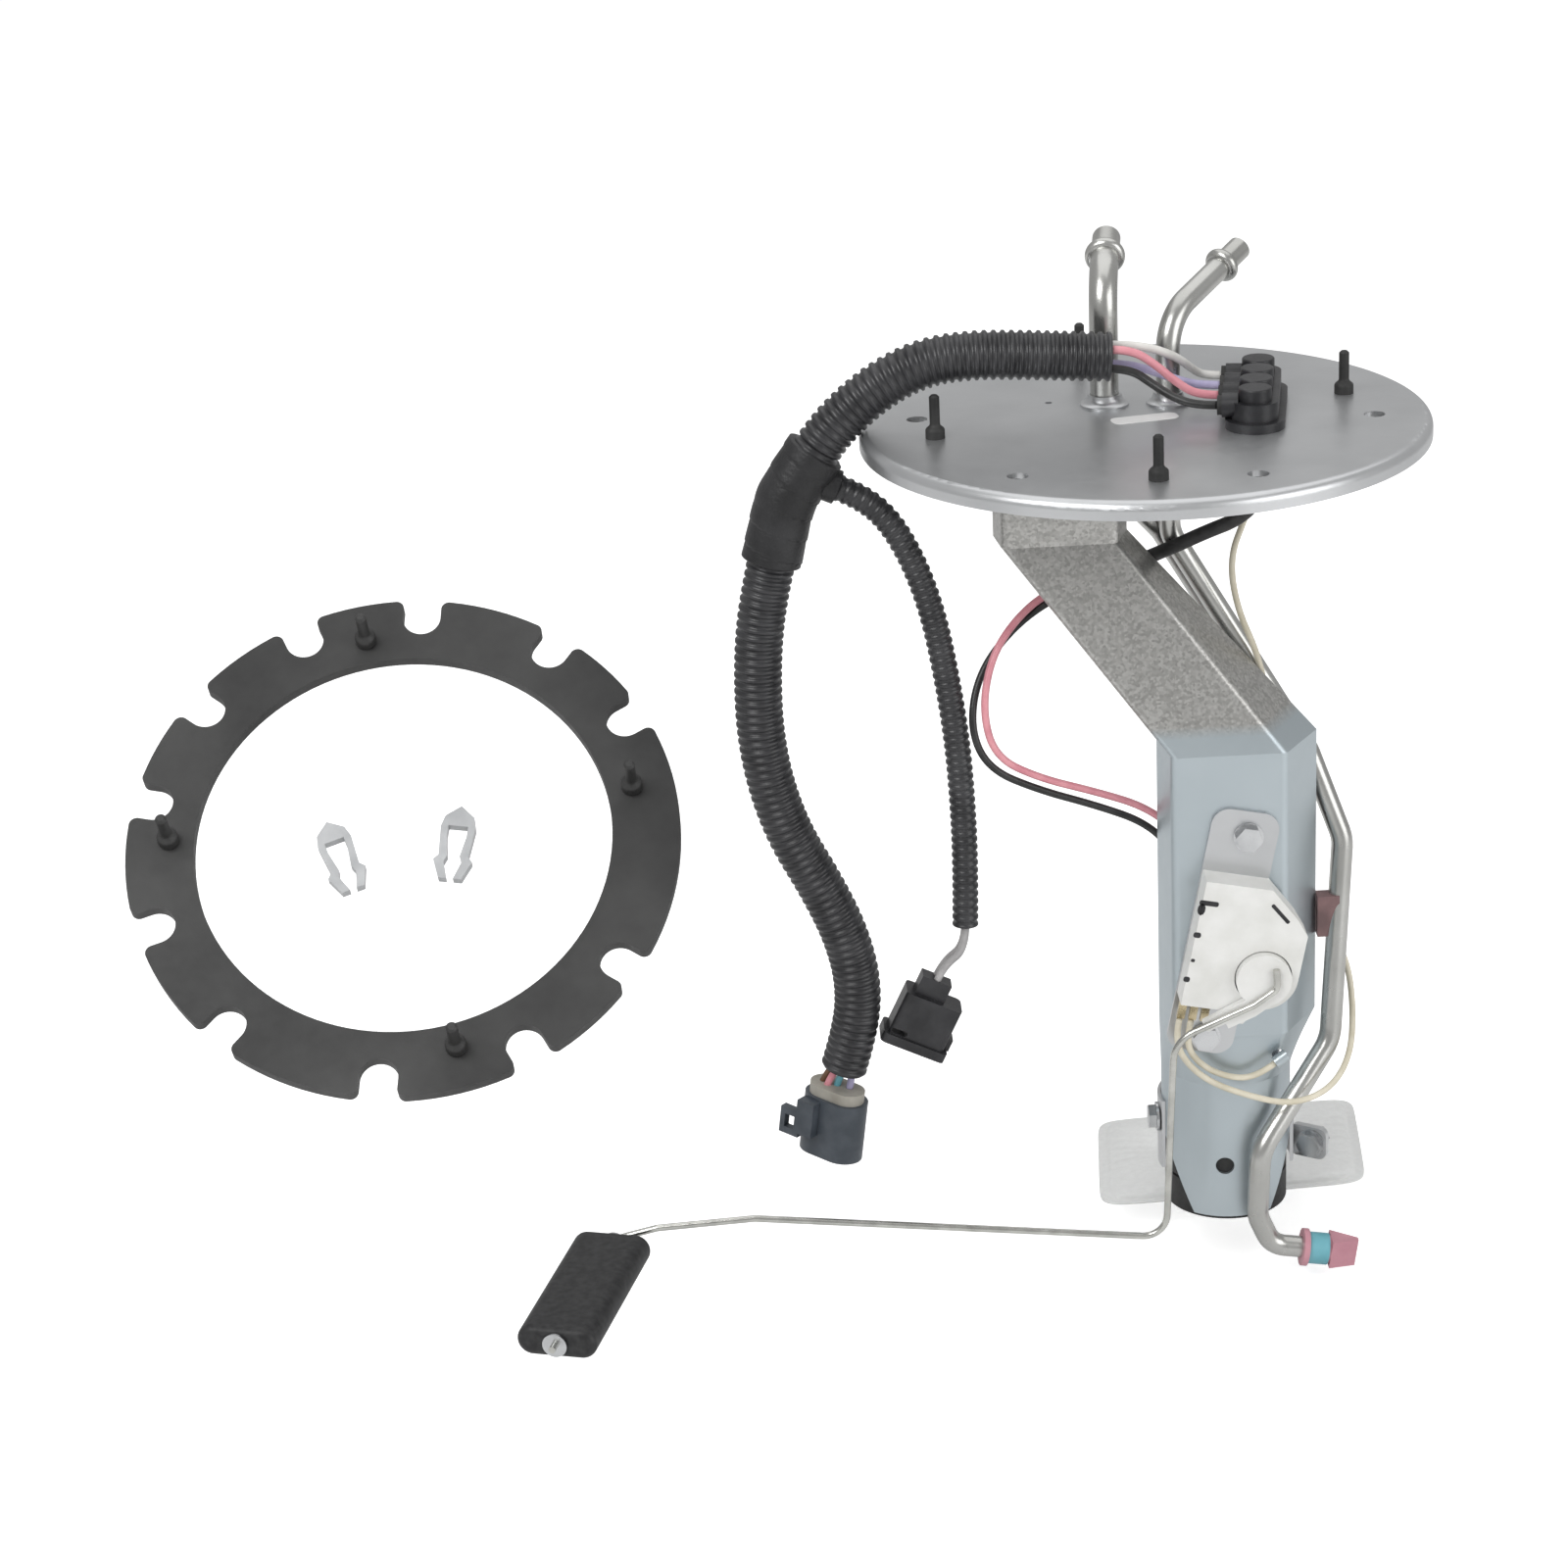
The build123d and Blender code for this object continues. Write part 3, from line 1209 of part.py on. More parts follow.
with BuildPart() as sender_bolts:
    for bolt_w in (0.0, -SENDER_BOLT_SPAN):
        add_bolt(turned(SENDER, 0, (0, bolt_w, SENDER_PLATE)), SENDER_PLATE)
save(sender_bolts.part, "sender_bolts")

with BuildPart() as sender_base:
    with BuildSketch(SENDER.offset(HOUSING_BACK)):
        housing_outline()
    extrude(amount=HOUSING_WALL)
    with BuildSketch(SENDER.offset(HOUSING_BACK + HOUSING_WALL)):
        housing_outline()
        with BuildSketch(mode=Mode.SUBTRACT):
            housing_outline()
            offset(amount=-HOUSING_WALL)
    extrude(amount=HOUSING_DEPTH - HOUSING_WALL)
    add_disc(turned(SENDER, 0, (*HUB_AT, HOUSING_BACK)), ROTOR_PIN + PIN_BOSS, 0, HOUSING_WALL + PIN_BOSS)
    add_disc(
        turned(SENDER, 0, (*HUB_AT, HOUSING_BACK)),
        ROTOR_PIN + RUNNING,
        0,
        HOUSING_WALL + PIN_BOSS,
        Mode.SUBTRACT,
    )
save(sender_base.part, "sender_base")

with BuildPart() as sender_cover:
    with BuildSketch(SENDER.offset(HOUSING_FRONT)):
        housing_outline()
        with Locations(HUB_AT):
            Circle(ROTOR + CLEAR, mode=Mode.SUBTRACT)
    extrude(amount=HOUSING_WALL)
save(sender_cover.part, "sender_cover")

CARD_PLANE = SENDER.offset(HOUSING_BACK + HOUSING_WALL)
with BuildPart() as sender_card:
    with BuildSketch(CARD_PLANE):
        with Locations(CARD_CORNER):
            Rectangle(*CARD_SIZE, align=(Align.MIN, Align.MIN))
    extrude(amount=CARD_THICK)
save(sender_card.part, "sender_card")

with BuildPart() as sender_rotor:
    pin_start = HOUSING_BACK + CLEAR
    add_disc(turned(SENDER, 0, (*HUB_AT, pin_start)), ROTOR_PIN, 0, HOUSING_FRONT - pin_start)
    disc_start = HOUSING_FRONT - HOUSING_WALL
    add_disc(turned(SENDER, 0, (*HUB_AT, disc_start)), ROTOR, 0, COVER_FRONT + ROTOR_PROUD - disc_start)
    with BuildSketch(turned(SENDER, LEVER_TURN, (*HUB_AT, COVER_FRONT + CLEAR))):
        with BuildLine():
            Polyline(*LEVER, close=True)
        make_face()
    extrude(amount=ROTOR_PROUD - CLEAR)
save(sender_rotor.part, "sender_rotor")

# The wiper is carried by the rotor's pin and sweeps over the card
with BuildPart() as sender_wiper:
    with BuildSketch(turned(SENDER, 0, (*HUB_AT, HOUSING_BACK + HOUSING_WALL + PIN_BOSS + CLEAR))):
        Circle(ROTOR_PIN + WIPER_RING)
        Circle(ROTOR_PIN, mode=Mode.SUBTRACT)
        with Locations((-ROTOR_PIN - WIPER_ROOT, 0)):
            Rectangle(WIPER_REACH, WIPER_WIDE, align=(Align.MAX, Align.CENTER))
    extrude(amount=WIPER_THICK)
save(sender_wiper.part, "sender_wiper")

with BuildPart() as sender_terminals:
    for terminal_v in TERMINAL_V:
        with BuildSketch(SENDER.offset(HOUSING_BACK + TERMINAL_BACK)):
            with Locations((terminal_v, HOUSING_OUTLINE[0][1])):
                Rectangle(TERMINAL_SIZE[0], TERMINAL_SIZE[1], align=(Align.CENTER, Align.MAX))
        extrude(amount=TERMINAL_SIZE[2])
save(sender_terminals.part, "sender_terminals")

# Float arm: one bent wire in a plane before the sender, then forward through the float
FLOAT_AXIS = Vector(-sin(radians(FLOAT_YAW)), -cos(radians(FLOAT_YAW)), 0)
ARM_CORNER = Vector(ARM_POINTS[-1][0], ARM_Y, ARM_POINTS[-1][1])
FLOAT_BACK = ARM_CORNER + FLOAT_AXIS * FLOAT_FROM_BEND
WIRE_END = FLOAT_BACK + FLOAT_AXIS * (FLOAT_LENGTH + WIRE_TIP)
arm_route = flat_route(ARM_POINTS, ARM_Y) + [tuple(WIRE_END)]

with BuildPart() as float_arm:
    add_bar(arm_route, ARM_RADIUS, list(ARM_BENDS))
save(float_arm.part, "float_arm")

FLOAT_PLANE = Plane(origin=FLOAT_BACK, x_dir=FLOAT_AXIS.cross(Vector(0, 0, 1)), z_dir=FLOAT_AXIS)
with BuildPart() as float_body:
    with BuildSketch(FLOAT_PLANE):
        SlotOverall(FLOAT_WIDTH, FLOAT_HEIGHT)
    extrude(amount=FLOAT_LENGTH)
    ends = float_body.faces().sort_by(Axis(FLOAT_BACK, FLOAT_AXIS))
    fillet(ends[0].edges() + ends[-1].edges(), FLOAT_EDGE)
    with BuildSketch(FLOAT_PLANE):
        Circle(ARM_RADIUS + RUNNING)
    extrude(amount=FLOAT_LENGTH, mode=Mode.SUBTRACT)
save(float_body.part, "float_body")

with BuildPart() as push_nuts:
    for along in (-CLEAR - NUT_THICK, FLOAT_LENGTH + CLEAR):
        add_disc(FLOAT_PLANE.offset(along), NUT_RADIUS, ARM_RADIUS, NUT_THICK)
save(push_nuts.part, "push_nuts")

# Harness above the plate
cord("upper_conduit", CONDUIT, UPPER_CONDUIT)
cord("lower_conduit", CONDUIT, LOWER_CONDUIT)
cord("branch_conduit", BRANCH, BRANCH_CONDUIT)
for n, (label, route) in enumerate(WIRE_ROUTES.items()):
    boss = FEED_SIDE.from_local_coords((-FEED_PITCH * n, FEED_BOSS_HEIGHT, FEED_BOSS_REACH))
    cord(label, WIRE, (tuple(boss), *route))

with BuildPart() as tee:
    add_bar((UPPER_CONDUIT[-1], TEE_CORNER, LOWER_CONDUIT[0]), TEE, [TEE])
    stub_to = Vector(*BRANCH_CONDUIT[0])
    add_disc(Plane(origin=stub_to, z_dir=stub_to - Vector(*BRANCH_CONDUIT[1])), STUB, 0, STUB_LENGTH)
save(tee.part, "tee")

cord("branch_leads", LEAD, flat_route(BRANCH_LEAD, -BRANCH_LEAD_Y), flat_route(BRANCH_LEAD, BRANCH_LEAD_Y))

# Leads below the plate
cord("lead_sleeve", SLEEVE, SLEEVE_ROUTE)
cord("pump_lead_pink", LEAD, PINK_LEAD)
cord("pump_lead_black", LEAD, BLACK_LEAD)
cord("ground_lead", THIN_LEAD, GROUND_LEAD)
cord("sender_leads", THIN_LEAD, OUTER_LEAD, INNER_LEAD)

# Plugs on the leads' ends: two boots under the feed-through, one on the pump, one at the bracket's hole
with BuildPart() as lead_plugs:
    for pair in (0.5, 2.5):
        boot_top = FEED_PLANE.offset(-FEED_NECK_LENGTH)
        with BuildSketch(boot_top):
            with Locations((0, FEED_PITCH * pair)):
                RectangleRounded(BOOT[0], BOOT[1], BOOT_CORNER)
            with Locations((0, FEED_PITCH * (pair - 0.5)), (0, FEED_PITCH * (pair + 0.5))):
                Circle(FEED_PIN, mode=Mode.SUBTRACT)
        extrude(amount=-FEED_PIN_LENGTH)
        with BuildSketch(boot_top.offset(-FEED_PIN_LENGTH)):
            with Locations((0, FEED_PITCH * pair)):
                RectangleRounded(BOOT[0], BOOT[1], BOOT_CORNER)
        extrude(amount=FEED_PIN_LENGTH - BOOT[2])
    with Locations(PUMP_PLUG_AT):
        Box(*PUMP_PLUG, align=(Align.CENTER, Align.CENTER, Align.MAX))
    for side_of in (1, -1):
        terminal_at = (side_of * TERMINAL_AT[0], -TERMINAL_AT[1], TOP_CAP_Z)
        add_disc(turned(PUMP_PLANE, 0, terminal_at), TERMINAL_POST, 0, TERMINAL_RISE, Mode.SUBTRACT)
    last_run = Vector(*INNER_LEAD[-1]) - Vector(*INNER_LEAD[-2])
    add_disc(Plane(origin=INNER_LEAD[-1], z_dir=last_run), GROMMET, 0, GROMMET_LENGTH)
save(lead_plugs.part, "lead_plugs")

# Main connector: an oval housing with a rear seal, a latch loop and four short leads
MAIN = Plane(
    origin=MAIN_AT,
    x_dir=(
        cos(radians(MAIN_YAW)),
        -sin(radians(MAIN_YAW)),
        -cos(radians(MAIN_YAW)) * MAIN_AXIS[0] / MAIN_AXIS[2],
    ),
    z_dir=MAIN_AXIS,
)
with BuildPart() as main_seal:
    with BuildSketch(MAIN):
        SlotOverall(MAIN_LONG - 2 * MAIN_RIM, MAIN_WIDE - 2 * MAIN_RIM)
    extrude(amount=MAIN_SEAL)
save(main_seal.part, "main_seal")

with BuildPart() as main_connector:
    with BuildSketch(MAIN.offset(MAIN_SEAL)):
        SlotOverall(MAIN_LONG, MAIN_WIDE)
    extrude(amount=MAIN_LENGTH)
    with BuildSketch(MAIN.offset(MAIN_SEAL + MAIN_LENGTH)):
        SlotOverall(MAIN_LONG - 2 * MAIN_RIM, MAIN_WIDE - 2 * MAIN_RIM)
    extrude(amount=-MAIN_SOCKET, mode=Mode.SUBTRACT)
    for (wide, deep, tall), (across, out, along) in (
        (LATCH_BLOCK, LATCH_BLOCK_AT),
        (LATCH_LOOP, LATCH_LOOP_AT),
    ):
        with BuildSketch(turned(MAIN, 0, (across, 0, along))):
            with Locations((0, out)):
                Rectangle(wide, deep, align=(Align.CENTER, Align.MIN))
        extrude(amount=tall)
    hole_at = (LATCH_LOOP_AT[0], LATCH_LOOP_AT[1], LATCH_LOOP_AT[2] + LATCH_LOOP[2] / 2)
    with BuildSketch(Plane(origin=MAIN.from_local_coords(hole_at), x_dir=MAIN.x_dir, z_dir=MAIN.y_dir)):
        Rectangle(*LATCH_LOOP_HOLE)
    extrude(amount=LATCH_LOOP[1], mode=Mode.SUBTRACT)
save(main_connector.part, "main_connector")

with BuildPart() as main_leads:
    lead_start = Vector(*LOWER_CONDUIT[-1])
    lead_run = (lead_start - Vector(*LOWER_CONDUIT[-2])).normalized()
    lead_plane = Plane(origin=lead_start, x_dir=(0, 1, 0), z_dir=lead_run)
    with BuildSketch(lead_plane):
        with GridLocations(MAIN_LEAD_PITCH, MAIN_LEAD_PITCH, 2, 2):
            Circle(MAIN_LEAD)
    extrude(amount=MAIN_LEAD_LENGTH)
save(main_leads.part, "main_leads")

# Branch connector: a smaller black housing with a wire boss
BRANCH_END = Plane(origin=BRANCH_AT, x_dir=(BRANCH_AXIS[2], 0, -BRANCH_AXIS[0]), z_dir=BRANCH_AXIS)
with BuildPart() as branch_connector:
    with BuildSketch(BRANCH_END):
        Rectangle(BRANCH_BOSS[0], BRANCH_BOSS[1])
    extrude(amount=BRANCH_BOSS[2])
    with BuildSketch(BRANCH_END.offset(BRANCH_BOSS[2])):
        with Locations((BRANCH_SHIFT, 0)):
            RectangleRounded(BRANCH_BODY[0], BRANCH_BODY[1], BRANCH_CORNER)
    extrude(amount=BRANCH_BODY[2])
    branch_tip = BRANCH_END.offset(BRANCH_BOSS[2] + BRANCH_BODY[2])
    with BuildSketch(branch_tip):
        with Locations((BRANCH_SHIFT, 0)):
            RectangleRounded(BRANCH_COLLAR[0], BRANCH_COLLAR[1], BRANCH_CORNER)
    extrude(amount=-BRANCH_COLLAR[2])
    with BuildSketch(branch_tip.offset(-BRANCH_COLLAR[2])):
        with Locations((BRANCH_SHIFT - BRANCH_BODY[0] / 2, 0)):
            Rectangle(BRANCH_LUG[0], BRANCH_LUG[1])
    extrude(amount=-BRANCH_LUG[2])
    slit_at = BRANCH_END.from_local_coords((BRANCH_SLIT_AT[0], 0, BRANCH_SLIT_AT[1]))
    with BuildSketch(Plane(origin=slit_at, x_dir=BRANCH_END.x_dir, z_dir=BRANCH_END.y_dir)):
        SlotOverall(*BRANCH_SLIT)
    extrude(amount=BRANCH_BODY[1], both=True, mode=Mode.SUBTRACT)
save(branch_connector.part, "branch_connector")
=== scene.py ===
import json

import bpy
import numpy as np
from mathutils import Euler, Matrix, Vector


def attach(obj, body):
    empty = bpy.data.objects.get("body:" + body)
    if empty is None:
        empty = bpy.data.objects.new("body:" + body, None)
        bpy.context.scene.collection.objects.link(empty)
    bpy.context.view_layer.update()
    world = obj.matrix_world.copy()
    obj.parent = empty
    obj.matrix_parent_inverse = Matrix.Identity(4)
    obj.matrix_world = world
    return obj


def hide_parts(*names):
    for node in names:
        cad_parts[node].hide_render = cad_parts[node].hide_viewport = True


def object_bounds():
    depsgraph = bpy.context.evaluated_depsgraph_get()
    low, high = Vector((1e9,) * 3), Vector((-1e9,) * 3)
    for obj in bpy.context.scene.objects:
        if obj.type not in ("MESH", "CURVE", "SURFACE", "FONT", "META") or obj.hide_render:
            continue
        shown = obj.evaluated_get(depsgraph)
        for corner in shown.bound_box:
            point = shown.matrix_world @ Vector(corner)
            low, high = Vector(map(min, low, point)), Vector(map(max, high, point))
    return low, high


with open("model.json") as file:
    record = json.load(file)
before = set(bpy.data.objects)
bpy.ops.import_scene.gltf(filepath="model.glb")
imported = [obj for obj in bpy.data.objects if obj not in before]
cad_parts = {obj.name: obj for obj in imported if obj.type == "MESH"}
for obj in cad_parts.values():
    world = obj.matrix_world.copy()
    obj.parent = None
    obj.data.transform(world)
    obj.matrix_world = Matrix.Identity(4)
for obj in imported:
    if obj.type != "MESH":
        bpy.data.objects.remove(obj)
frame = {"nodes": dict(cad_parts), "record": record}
low_before, high_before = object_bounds()

MM = 0.001


# ---- meshes ----


def grid_piece(name, points, paint, body="module", around=False, ends=False):
    """A smooth surface through a grid of points, rows along it and columns across it.

    around joins the last column to the first, and ends closes the first and last row with a fan
    about the row's mean point.
    """
    rows, columns = points.shape[:2]
    index = np.arange(rows * columns).reshape(rows, columns)
    if around:
        index = np.concatenate([index, index[:, :1]], axis=1)
    quads = np.stack([index[:-1, :-1], index[:-1, 1:], index[1:, 1:], index[1:, :-1]], axis=-1)
    faces = quads.reshape(-1, 4).tolist()
    vertices = points.reshape(-1, 3)
    if ends:
        middles = points[[0, -1]].mean(axis=1)
        first, last = len(vertices), len(vertices) + 1
        vertices = np.concatenate([vertices, middles])
        start, finish = index[0], index[-1]
        faces += np.stack([start[1:], start[:-1], np.full(len(start) - 1, first)], axis=-1).tolist()
        faces += np.stack([finish[:-1], finish[1:], np.full(len(finish) - 1, last)], axis=-1).tolist()
    mesh = bpy.data.meshes.new(name)
    mesh.from_pydata(vertices.tolist(), [], faces)
    mesh.polygons.foreach_set("use_smooth", np.ones(len(faces), bool))
    mesh.materials.append(paint)
    mesh.validate()
    piece = bpy.data.objects.new(name, mesh)
    bpy.context.scene.collection.objects.link(piece)
    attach(piece, body)
    return piece


def centreline(name, route, samples=16):
    """The points of a soft curve that leans on a route's corners, given in millimetres, at even steps.

    The curve starts and ends at the route's ends, and touches the middle of each run between.
    """
    data = bpy.data.curves.new(name, "CURVE")
    data.dimensions = "3D"
    spline = data.splines.new("NURBS")
    spline.points.add(len(route) - 1)
    for point, place in zip(spline.points, route):
        point.co = (*(MM * c for c in place), 1)
    spline.order_u = 3
    spline.use_endpoint_u = True
    spline.resolution_u = samples
    holder = bpy.data.objects.new(name, data)
    mesh = bpy.data.meshes.new_from_object(holder)
    points = np.array([v.co for v in mesh.vertices], float)
    bpy.data.objects.remove(holder)
    bpy.data.meshes.remove(mesh)
    return points


def even_steps(points, step):
    """The same line with its points a fixed step apart, by reading each coordinate over the line's length."""
    run = np.concatenate([[0], np.cumsum(np.linalg.norm(np.diff(points, axis=0), axis=1))])
    count = max(int(round(run[-1] / step)), 4)
    places = np.linspace(0, run[-1], count + 1)
    return np.stack([np.interp(places, run, points[:, k]) for k in range(3)], axis=-1), places


STEEP = 0.8  # a line whose start leans further than this along y is measured across from x instead


def cross_directions(points):
    """Two directions across a line at each point, each step's first one being the last one's, squared up."""
    along = np.gradient(points, axis=0)
    along /= np.linalg.norm(along, axis=1, keepdims=True)
    side = np.empty_like(along)
    guess = np.array([0.0, 1.0, 0.0]) if abs(along[0][1]) < STEEP else np.array([1.0, 0.0, 0.0])
    for k, direction in enumerate(along):
        guess = guess - direction * (guess @ direction)
        guess = guess / np.linalg.norm(guess)
        side[k] = guess
    return side, np.cross(along, side)


def tube(name, points, radius, paint, body="module", around=24):
    """A round surface about a line, its radius one value, one for each step or one for each step and spoke."""
    side, up = cross_directions(points)
    turn = np.linspace(0, 2 * np.pi, around, endpoint=False)
    rings = np.asarray(radius, float)
    if rings.ndim == 1:
        rings = rings[:, None]
    rings = np.broadcast_to(rings, (len(points), around))
    spokes = side[:, None] * np.cos(turn)[:, None] + up[:, None] * np.sin(turn)[:, None]
    surface = points[:, None] + spokes * rings[..., None]
    return grid_piece(name, surface, paint, body, around=True, ends=True)


# ---- materials ----


def socket_group(name, inputs, outputs):
    """An empty node group with number inputs and outputs, and its two end nodes."""
    group = bpy.data.node_groups.new(name, "ShaderNodeTree")
    for label, kind, value in inputs:
        item = group.interface.new_socket(label, in_out="INPUT", socket_type=kind)
        if value is not None:
            item.default_value = value
    for label, kind in outputs:
        group.interface.new_socket(label, in_out="OUTPUT", socket_type=kind)
    return group, group.nodes.new("NodeGroupInput"), group.nodes.new("NodeGroupOutput")


FINER_TIMES = 12
# The slow noise counts as unstained below this low: the contrast times the first number, plus the second
STAIN_LOW = (0.3, 0.2)


def make_variation():
    """Stains from a slow noise, and grain and height from a noise twelve times finer."""
    group, source, sink = socket_group(
        "surface_variation",
        [("Scale", "NodeSocketFloat", 60.0), ("Contrast", "NodeSocketFloat", 0.5)],
        [("Stain", "NodeSocketFloat"), ("Grain", "NodeSocketFloat"), ("Height", "NodeSocketFloat")],
    )
    place = group.nodes.new("ShaderNodeTexCoord")
    slow = group.nodes.new("ShaderNodeTexNoise")
    slow.inputs["Detail"].default_value = 4
    fine = group.nodes.new("ShaderNodeTexNoise")
    fine.inputs["Detail"].default_value = 3
    finer = group.nodes.new("ShaderNodeMath")
    finer.operation = "MULTIPLY"
    finer.inputs[1].default_value = FINER_TIMES
    spread = group.nodes.new("ShaderNodeMapRange")
    low = group.nodes.new("ShaderNodeMath")
    low.operation = "MULTIPLY_ADD"
    low.inputs[1].default_value, low.inputs[2].default_value = STAIN_LOW
    high = group.nodes.new("ShaderNodeMath")
    high.operation = "SUBTRACT"
    high.inputs[0].default_value = 1
    link = group.links.new
    link(place.outputs["Object"], slow.inputs["Vector"])
    link(place.outputs["Object"], fine.inputs["Vector"])
    link(source.outputs["Scale"], slow.inputs["Scale"])
    link(source.outputs["Scale"], finer.inputs[0])
    link(finer.outputs[0], fine.inputs["Scale"])
    link(slow.outputs["Fac"], spread.inputs["Value"])
    link(source.outputs["Contrast"], low.inputs[0])
    link(low.outputs[0], high.inputs[1])
    link(low.outputs[0], spread.inputs["From Min"])
    link(high.outputs[0], spread.inputs["From Max"])
    link(spread.outputs["Result"], sink.inputs["Stain"])
    link(fine.outputs["Fac"], sink.inputs["Grain"])
    link(fine.outputs["Fac"], sink.inputs["Height"])
    return group


VARIATION = make_variation()


def finish_of(name, dark, light, rough, scale=60.0, contrast=0.5, bump=0.15, depth=0.0002, **constants):
    """A material whose colour goes between two by its stains and whose roughness goes between two by its grain."""
    paint = bpy.data.materials.new(name)
    paint.use_nodes = True
    nodes, link = paint.node_tree.nodes, paint.node_tree.links.new
    shader = nodes["Principled BSDF"]
    change = nodes.new("ShaderNodeGroup")
    change.node_tree = VARIATION
    change.inputs["Scale"].default_value = scale
    change.inputs["Contrast"].default_value = contrast
    colour = nodes.new("ShaderNodeMix")
    colour.data_type = "RGBA"
    colour.inputs["A"].default_value = (*dark, 1)
    colour.inputs["B"].default_value = (*light, 1)
    gloss = nodes.new("ShaderNodeMapRange")
    gloss.inputs["To Min"].default_value = rough[0]
    gloss.inputs["To Max"].default_value = rough[1]
    relief = nodes.new("ShaderNodeBump")
    relief.inputs["Strength"].default_value = bump
    relief.inputs["Distance"].default_value = depth
    link(change.outputs["Stain"], colour.inputs["Factor"])
    link(colour.outputs["Result"], shader.inputs["Base Color"])
    link(change.outputs["Grain"], gloss.inputs["Value"])
    link(gloss.outputs["Result"], shader.inputs["Roughness"])
    link(change.outputs["Height"], relief.inputs["Height"])
    link(relief.outputs["Normal"], shader.inputs["Normal"])
    for label, value in constants.items():
        shader.inputs[label.replace("_", " ")].default_value = value
    paint.diffuse_color = (*light, 1)
    return paint


ZINC = finish_of("zinc", (0.34, 0.37, 0.39), (0.46, 0.49, 0.51), (0.30, 0.46), 45, 0.4, 0.08, Metallic=0.85)
PLATE = finish_of("rolled_plate", (0.54, 0.55, 0.56), (0.63, 0.64, 0.65), (0.29, 0.38), 28, 0.3, 0.03, Metallic=0.85)
BRIGHT = finish_of("bright_zinc", (0.48, 0.49, 0.50), (0.68, 0.69, 0.70), (0.16, 0.32), 90, 0.4, 0.08, Metallic=1.0)
TUBE = finish_of("tube_steel", (0.46, 0.46, 0.44), (0.57, 0.57, 0.55), (0.26, 0.30), 40, 0.3, 0.01, Metallic=0.95)
CAN = finish_of("can_steel", (0.45, 0.47, 0.49), (0.64, 0.66, 0.68), (0.22, 0.36), 50, 0.4, 0.06, Metallic=1.0)
RUBBER = finish_of("seal_rubber", (0.012, 0.012, 0.012), (0.032, 0.032, 0.031), (0.50, 0.72), 80, 0.5, 0.25)
GREY_RUBBER = finish_of("grey_rubber", (0.30, 0.28, 0.24), (0.42, 0.40, 0.35), (0.5, 0.7), 120, 0.5, 0.2)
BROWN_RUBBER = finish_of("brown_rubber", (0.15, 0.09, 0.09), (0.24, 0.14, 0.14), (0.45, 0.65), 120, 0.5, 0.2)
HOSE = finish_of("hose_rubber", (0.010, 0.010, 0.011), (0.028, 0.028, 0.028), (0.38, 0.6), 150, 0.5, 0.2)
PALE = finish_of(
    "pale_plastic", (0.66, 0.66, 0.60), (0.80, 0.80, 0.75), (0.28, 0.42), 90, 0.4, 0.08, Transmission_Weight=0.35
)
BLACK = finish_of("black_plastic", (0.012, 0.012, 0.014), (0.030, 0.030, 0.033), (0.30, 0.46), 110, 0.5, 0.12)
SLATE = finish_of("slate_plastic", (0.045, 0.055, 0.068), (0.075, 0.088, 0.105), (0.32, 0.48), 110, 0.5, 0.12)
WHITE = finish_of("white_plastic", (0.72, 0.72, 0.69), (0.82, 0.82, 0.80), (0.35, 0.5), 90, 0.4, 0.08)
ROSE = finish_of("rose_plastic", (0.46, 0.20, 0.25), (0.58, 0.28, 0.33), (0.32, 0.46), 90, 0.4, 0.1)
TEAL = finish_of("teal_plastic", (0.10, 0.34, 0.40), (0.17, 0.44, 0.51), (0.32, 0.46), 90, 0.4, 0.1)
BROWN = finish_of("brown_plastic", (0.12, 0.06, 0.03), (0.22, 0.12, 0.06), (0.4, 0.55), 90, 0.4, 0.1)
CONTACT = finish_of("contact", (0.50, 0.42, 0.26), (0.70, 0.60, 0.40), (0.2, 0.36), 120, 0.4, 0.06, Metallic=1.0)
ALLOY = finish_of("cast_aluminium", (0.42, 0.43, 0.44), (0.58, 0.59, 0.60), (0.4, 0.55), 120, 0.5, 0.3, Metallic=0.9)
IRON = finish_of("iron", (0.08, 0.08, 0.085), (0.18, 0.18, 0.19), (0.4, 0.6), 120, 0.5, 0.2, Metallic=0.6)
CARBON = finish_of("carbon", (0.02, 0.02, 0.02), (0.05, 0.05, 0.05), (0.5, 0.7), 160, 0.5, 0.2)
CARD = finish_of("card", (0.62, 0.62, 0.58), (0.80, 0.80, 0.76), (0.3, 0.45), 160, 0.5, 0.1)
FOAM = finish_of("float_foam", (0.009, 0.009, 0.010), (0.026, 0.026, 0.027), (0.42, 0.62), 420, 0.5, 0.2, 0.0001)
CONDUIT = finish_of("conduit", (0.018, 0.018, 0.020), (0.044, 0.044, 0.047), (0.26, 0.40), 130, 0.5, 0.1)
TAPE = finish_of("tape", (0.010, 0.010, 0.011), (0.026, 0.026, 0.028), (0.35, 0.55), 60, 0.6, 0.35, 0.0006)
WIRE_STEEL = finish_of(
    "wire_steel", (0.50, 0.50, 0.47), (0.70, 0.70, 0.66), (0.16, 0.3), 150, 0.4, 0.05, Metallic=1.0
)
MESH = finish_of(
    "mesh", (0.82, 0.83, 0.82), (0.88, 0.89, 0.88), (0.5, 0.62), 500, 0.4, 0.15, 0.0001, Transmission_Weight=0.25
)
CLIP = finish_of(
    "clip_plastic", (0.46, 0.47, 0.48), (0.58, 0.59, 0.60), (0.3, 0.45), 120, 0.4, 0.1, Transmission_Weight=0.2
)
OLD_RUBBER = finish_of("ring_rubber", (0.010, 0.010, 0.010), (0.052, 0.052, 0.051), (0.42, 0.66), 22, 0.2, 0.25)
WIRE_BLACK = finish_of("wire_black", (0.012, 0.012, 0.012), (0.03, 0.03, 0.03), (0.3, 0.45), 150)
